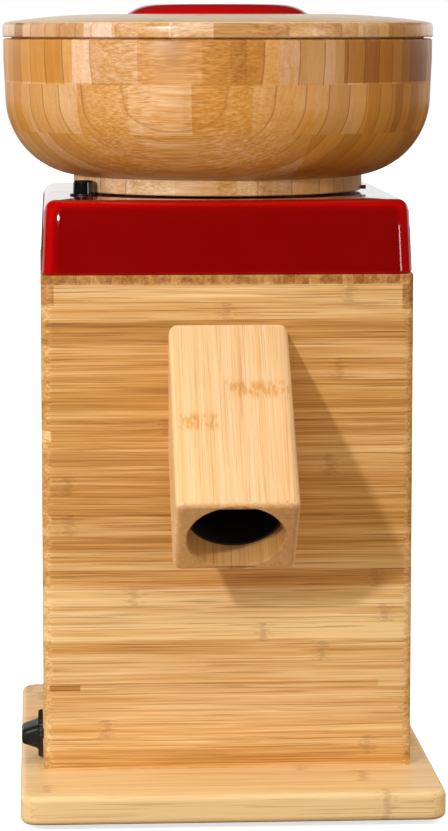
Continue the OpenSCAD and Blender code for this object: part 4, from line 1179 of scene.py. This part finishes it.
def buildBearing(node, name, look):
    low, high = heights(node)
    mid, edge, track = (low + high) / 2, look["edge"], look["track"]
    seat = look["ball"] + look["play"]
    form = bmesh.new()
    for wall, face, side in zip((look["outer"], look["inner"]), look["shoulders"], (1, -1)):
        reach = math.degrees(math.acos(abs(face - track) / seat))
        start, end = (-reach, reach) if side > 0 else (180 + reach, 180 - reach)
        profile = [(wall, low + edge), (wall - side * edge, low), (face + side * edge, low),
            (face, low + edge)]
        profile += arc(track, mid, seat, start, end, 8)
        profile += [(face, high - edge), (face + side * edge, high), (wall - side * edge, high),
            (wall, high - edge)]
        lathe(form, profile, 64)
    inner, outer, thick = look["cage"]
    for z in (mid - look["ball"] - thick, mid + look["ball"]):
        lathe(form, [(inner, z), (outer, z), (outer, z + thick), (inner, z + thick)], 64)
    rings = finishMesh(name + "Rings", form, turned["steelTurned"], 40, toMetres)
    unit = bmesh.new()
    bmesh.ops.create_icosphere(unit, subdivisions=3, radius=look["ball"] / 1000)
    ball = finishMesh(name + "Ball", unit, turned["steelTurned"], 180)
    places = [(tuple(toMetres @ Vector(point)), (0, 0, 1), 2 * math.pi * i / look["balls"])
        for i, point in enumerate(circle(track, mid, look["balls"]))]
    mesh = joinMeshes(name, rings, repeat(name + "Balls", ball, places))
    placePiece(name, mesh, {**look, "replaces": [node]})


buildBearing("lower_bearing", "lowerBearing", bearingLook)
buildBearing("upper_bearing", "upperBearing", bearingLook)

windingLook = {"body": "housing", "replaces": ["stator_windings"], "slot": "copper_wire",
    "coils": 24, "span": 5, "wire": 2.5, "inside": 36.8, "outside": 43.4, "gap": 60.0, "foot": 2.6,
    "rise": 12.4}


def windingPath(look, steps=22):
    sweep = 2 * math.pi * look["span"] / look["coils"]
    path = []
    for i in range(steps + 1):
        share = i / steps
        turn = sweep * (share - 0.5)
        lift = look["foot"] + look["rise"] * min(1.0, math.sin(math.pi * share) * 1.9)
        radius = look["inside"] + (look["outside"] - look["inside"]) * share
        path.append(Vector((radius * math.cos(turn), radius * math.sin(turn), lift)))
    return path


def tube(form, path, radius, sides=8):
    rows = []
    for i, point in enumerate(path):
        ahead = path[min(i + 1, len(path) - 1)] - path[max(i - 1, 0)]
        across = ahead.cross(point.normalized() if ahead.z == 0 else Vector((point.x, point.y, 0)))
        across = across.normalized() if across.length > 1e-6 else Vector((0, 0, 1))
        beside = ahead.normalized().cross(across).normalized()
        rows.append([point + radius * (across * math.cos(a) + beside * math.sin(a))
            for a in [2 * math.pi * k / sides for k in range(sides)]])
    capEnds(form, rows)


def buildWindings(look):
    low, high = heights("stator_windings")
    form = bmesh.new()
    tube(form, windingPath(look), look["wire"])
    unit = finishMesh("windingUnit", form, moulded["copperWire"], 60, millimetres)
    places = []
    for side in (1, -1):
        places += turnsAt(look["coils"], (0, 0, (low + high + side * look["gap"]) / 2),
            (0, 0, side))
    placePiece("statorWindings", repeat("statorWindings", unit, places), look)


buildWindings(windingLook)

fanLook = {"body": "spindle", "replaces": ["cooling_fan"], "slot": "black_plastic", "blades": 9,
    "radius": 47.6, "hub": 13.4, "bore": 7.6, "thick": 1.5, "sweep": 24.0}


def buildFan(look):
    low, high = heights("cooling_fan")
    form = bmesh.new()
    hub, bore, radius = look["hub"], look["bore"], look["radius"]
    profile = [(bore, low + 0.5), (bore + 0.5, low), (hub - 1.0, low), (hub, low + 1.0),
        (hub, high - 3.2)] + arc(hub + 1.2, high - 3.2, 1.2, 180, 90, 4)[1:]
    profile += [(radius - 1.0, high - 2.0), (radius, high - 1.6), (radius, high - 0.3),
        (radius - 0.3, high), (bore + 0.5, high), (bore, high - 0.5)]
    lathe(form, profile, 96)
    disc = finishMesh("fanDisc", form, moulded["blackPlastic"], 40, toMetres)
    blade = bmesh.new()
    sections = []
    steps, top = 12, high - 1.9 - low
    for i in range(steps + 1):
        share = i / steps
        r = hub - 0.5 + (radius - 2.0 - hub) * share
        turn = math.radians(look["sweep"]) * share ** 1.4
        tall = (high - low - 2.2) * (1 - 0.35 * share ** 2)
        half = look["thick"] / 2 * (1 - 0.3 * share)
        centre = Vector((r * math.cos(turn), r * math.sin(turn), 0))
        side = Vector((-math.sin(turn), math.cos(turn), 0)) * half
        sections.append([centre + side * wide + Vector((0, 0, z))
            for wide, z in ((-1, top), (1, top), (0.6, top - tall), (-0.6, top - tall))])
    capEnds(blade, sections)
    unit = finishMesh("fanBlade", blade, moulded["blackPlastic"], 40, millimetres)
    blades = repeat("fanBlades", unit, turnsAt(look["blades"], (0, 0, low)))
    placePiece("coolingFan", joinMeshes("coolingFan", disc, blades), look)


buildFan(fanLook)
print("spout, bearings, windings and fan built")


# studio

cameraSet = {"place": (-0.1006, -1.7634, 0.4238), "tilt": 82.907, "turn": -3.325, "lens": 137.31}
lightSet = {
    "key": {"from": (-0.526, -0.901, 0.348), "distance": 1.1, "size": (0.055, 0.055),
        "share": 0.39},
    "leftFill": {"from": (-0.96, -0.20, 0.20), "distance": 1.5, "size": (0.9, 1.1),
        "share": 0.29, "mirrored": False},
    "rightStrip": {"from": (0.72, -0.66, 0.015), "distance": 1.4, "size": (0.15, 0.42),
        "share": 0.09},
}


def addCamera(look):
    data = bpy.data.cameras.new("camera")
    data.lens = look["lens"]
    data.sensor_width = 36.0
    data.clip_start, data.clip_end = 0.05, 30.0
    camera = bpy.data.objects.new("camera", data)
    camera.location = look["place"]
    camera.rotation_euler = (math.radians(look["tilt"]), 0, math.radians(look["turn"]))
    bpy.context.scene.collection.objects.link(camera)
    bpy.context.scene.camera = camera


def addLight(name, look, target):
    data = bpy.data.lights.new(name, "AREA")
    data.shape = "RECTANGLE"
    data.size, data.size_y = look["size"]
    direction = Vector(look["from"]).normalized()
    data.energy = look["share"] * (math.pi * look["distance"]) ** 2
    light = bpy.data.objects.new(name, data)
    light.location = target + direction * look["distance"]
    light.rotation_euler = direction.to_track_quat("Z", "Y").to_euler()
    light.visible_glossy = look.get("mirrored", True)
    bpy.context.scene.collection.objects.link(light)


def addWorld():
    world = bpy.data.worlds.new("studio")
    world.use_nodes = True
    bpy.context.scene.world = world
    tree = world.node_tree
    path = addNode(tree, "ShaderNodeLightPath").outputs
    direction = addNode(tree, "ShaderNodeTexCoord").outputs["Generated"]
    x, y, z = split(direction)
    # the soft light is a little stronger from the right, from the front and from above
    ambient = times(remap(x, 0.9, -0.9, 1.40, 1.08, smooth=False), remap(y, 0.6, -0.8, 0.51, 0.64))
    ambient = times(ambient, remap(z, 0.3, 1.0, 1.0, 1.3))
    # gloss sees a white wall behind the mill, in a dark room
    wall = times(remap(y, 0.35, 0.7), remap(calc("ABSOLUTE", z), 0.34, 0.14))
    strength = mix(path["Is Glossy Ray"], ambient, times(wall, 0.97, 0.02))
    clean = calc("MAXIMUM", path["Is Glossy Ray"], path["Is Camera Ray"])
    background = tree.nodes["Background"].inputs
    plug(tree, background["Strength"], calc("MAXIMUM", strength, path["Is Camera Ray"]))
    # warm when soft
    plug(tree, background["Color"], mixColor(clean, (1, 0.92, 0.79, 1), (1, 1, 1, 1)))


def addFloor():
    mesh = bpy.data.meshes.new("floor")
    reach = 8.0
    corners = [(x * reach, y * reach, 0) for x, y in ((-1, -1), (1, -1), (1, 1), (-1, 1))]
    mesh.from_pydata(corners, [], [(0, 1, 2, 3)])
    floor = bpy.data.objects.new("floor", mesh)
    bpy.context.scene.collection.objects.link(floor)
    material = bpy.data.materials.new("paleFloor")
    material.use_nodes = True
    tree = material.node_tree
    tree.nodes.remove(tree.nodes["Principled BSDF"])
    output = tree.nodes["Material Output"]
    path = addNode(tree, "ShaderNodeLightPath").outputs
    # the camera sees it white, while the mill gets the warm light of a wooden table top
    shade = mixColor(path["Is Camera Ray"], (0.16, 0.105, 0.055, 1), (0.86, 0.86, 0.86, 1))
    matt = addNode(tree, "ShaderNodeBsdfDiffuse", {"Color": shade})
    glow = addNode(tree, "ShaderNodeEmission", {"Color": (1, 1, 1, 1),
        "Strength": times(path["Is Camera Ray"], 0.7)})
    both = addNode(tree, "ShaderNodeAddShader", {0: matt.outputs[0], 1: glow.outputs[0]})
    tree.links.new(both.outputs[0], output.inputs["Surface"])
    mesh.materials.append(material)


middle = Vector((0, axisY, 0.22))
addCamera(cameraSet)
for name, look in lightSet.items():
    addLight(name, look, middle)
addWorld()
addFloor()
bpy.context.scene.view_settings.view_transform = "Standard"
print("studio ready")
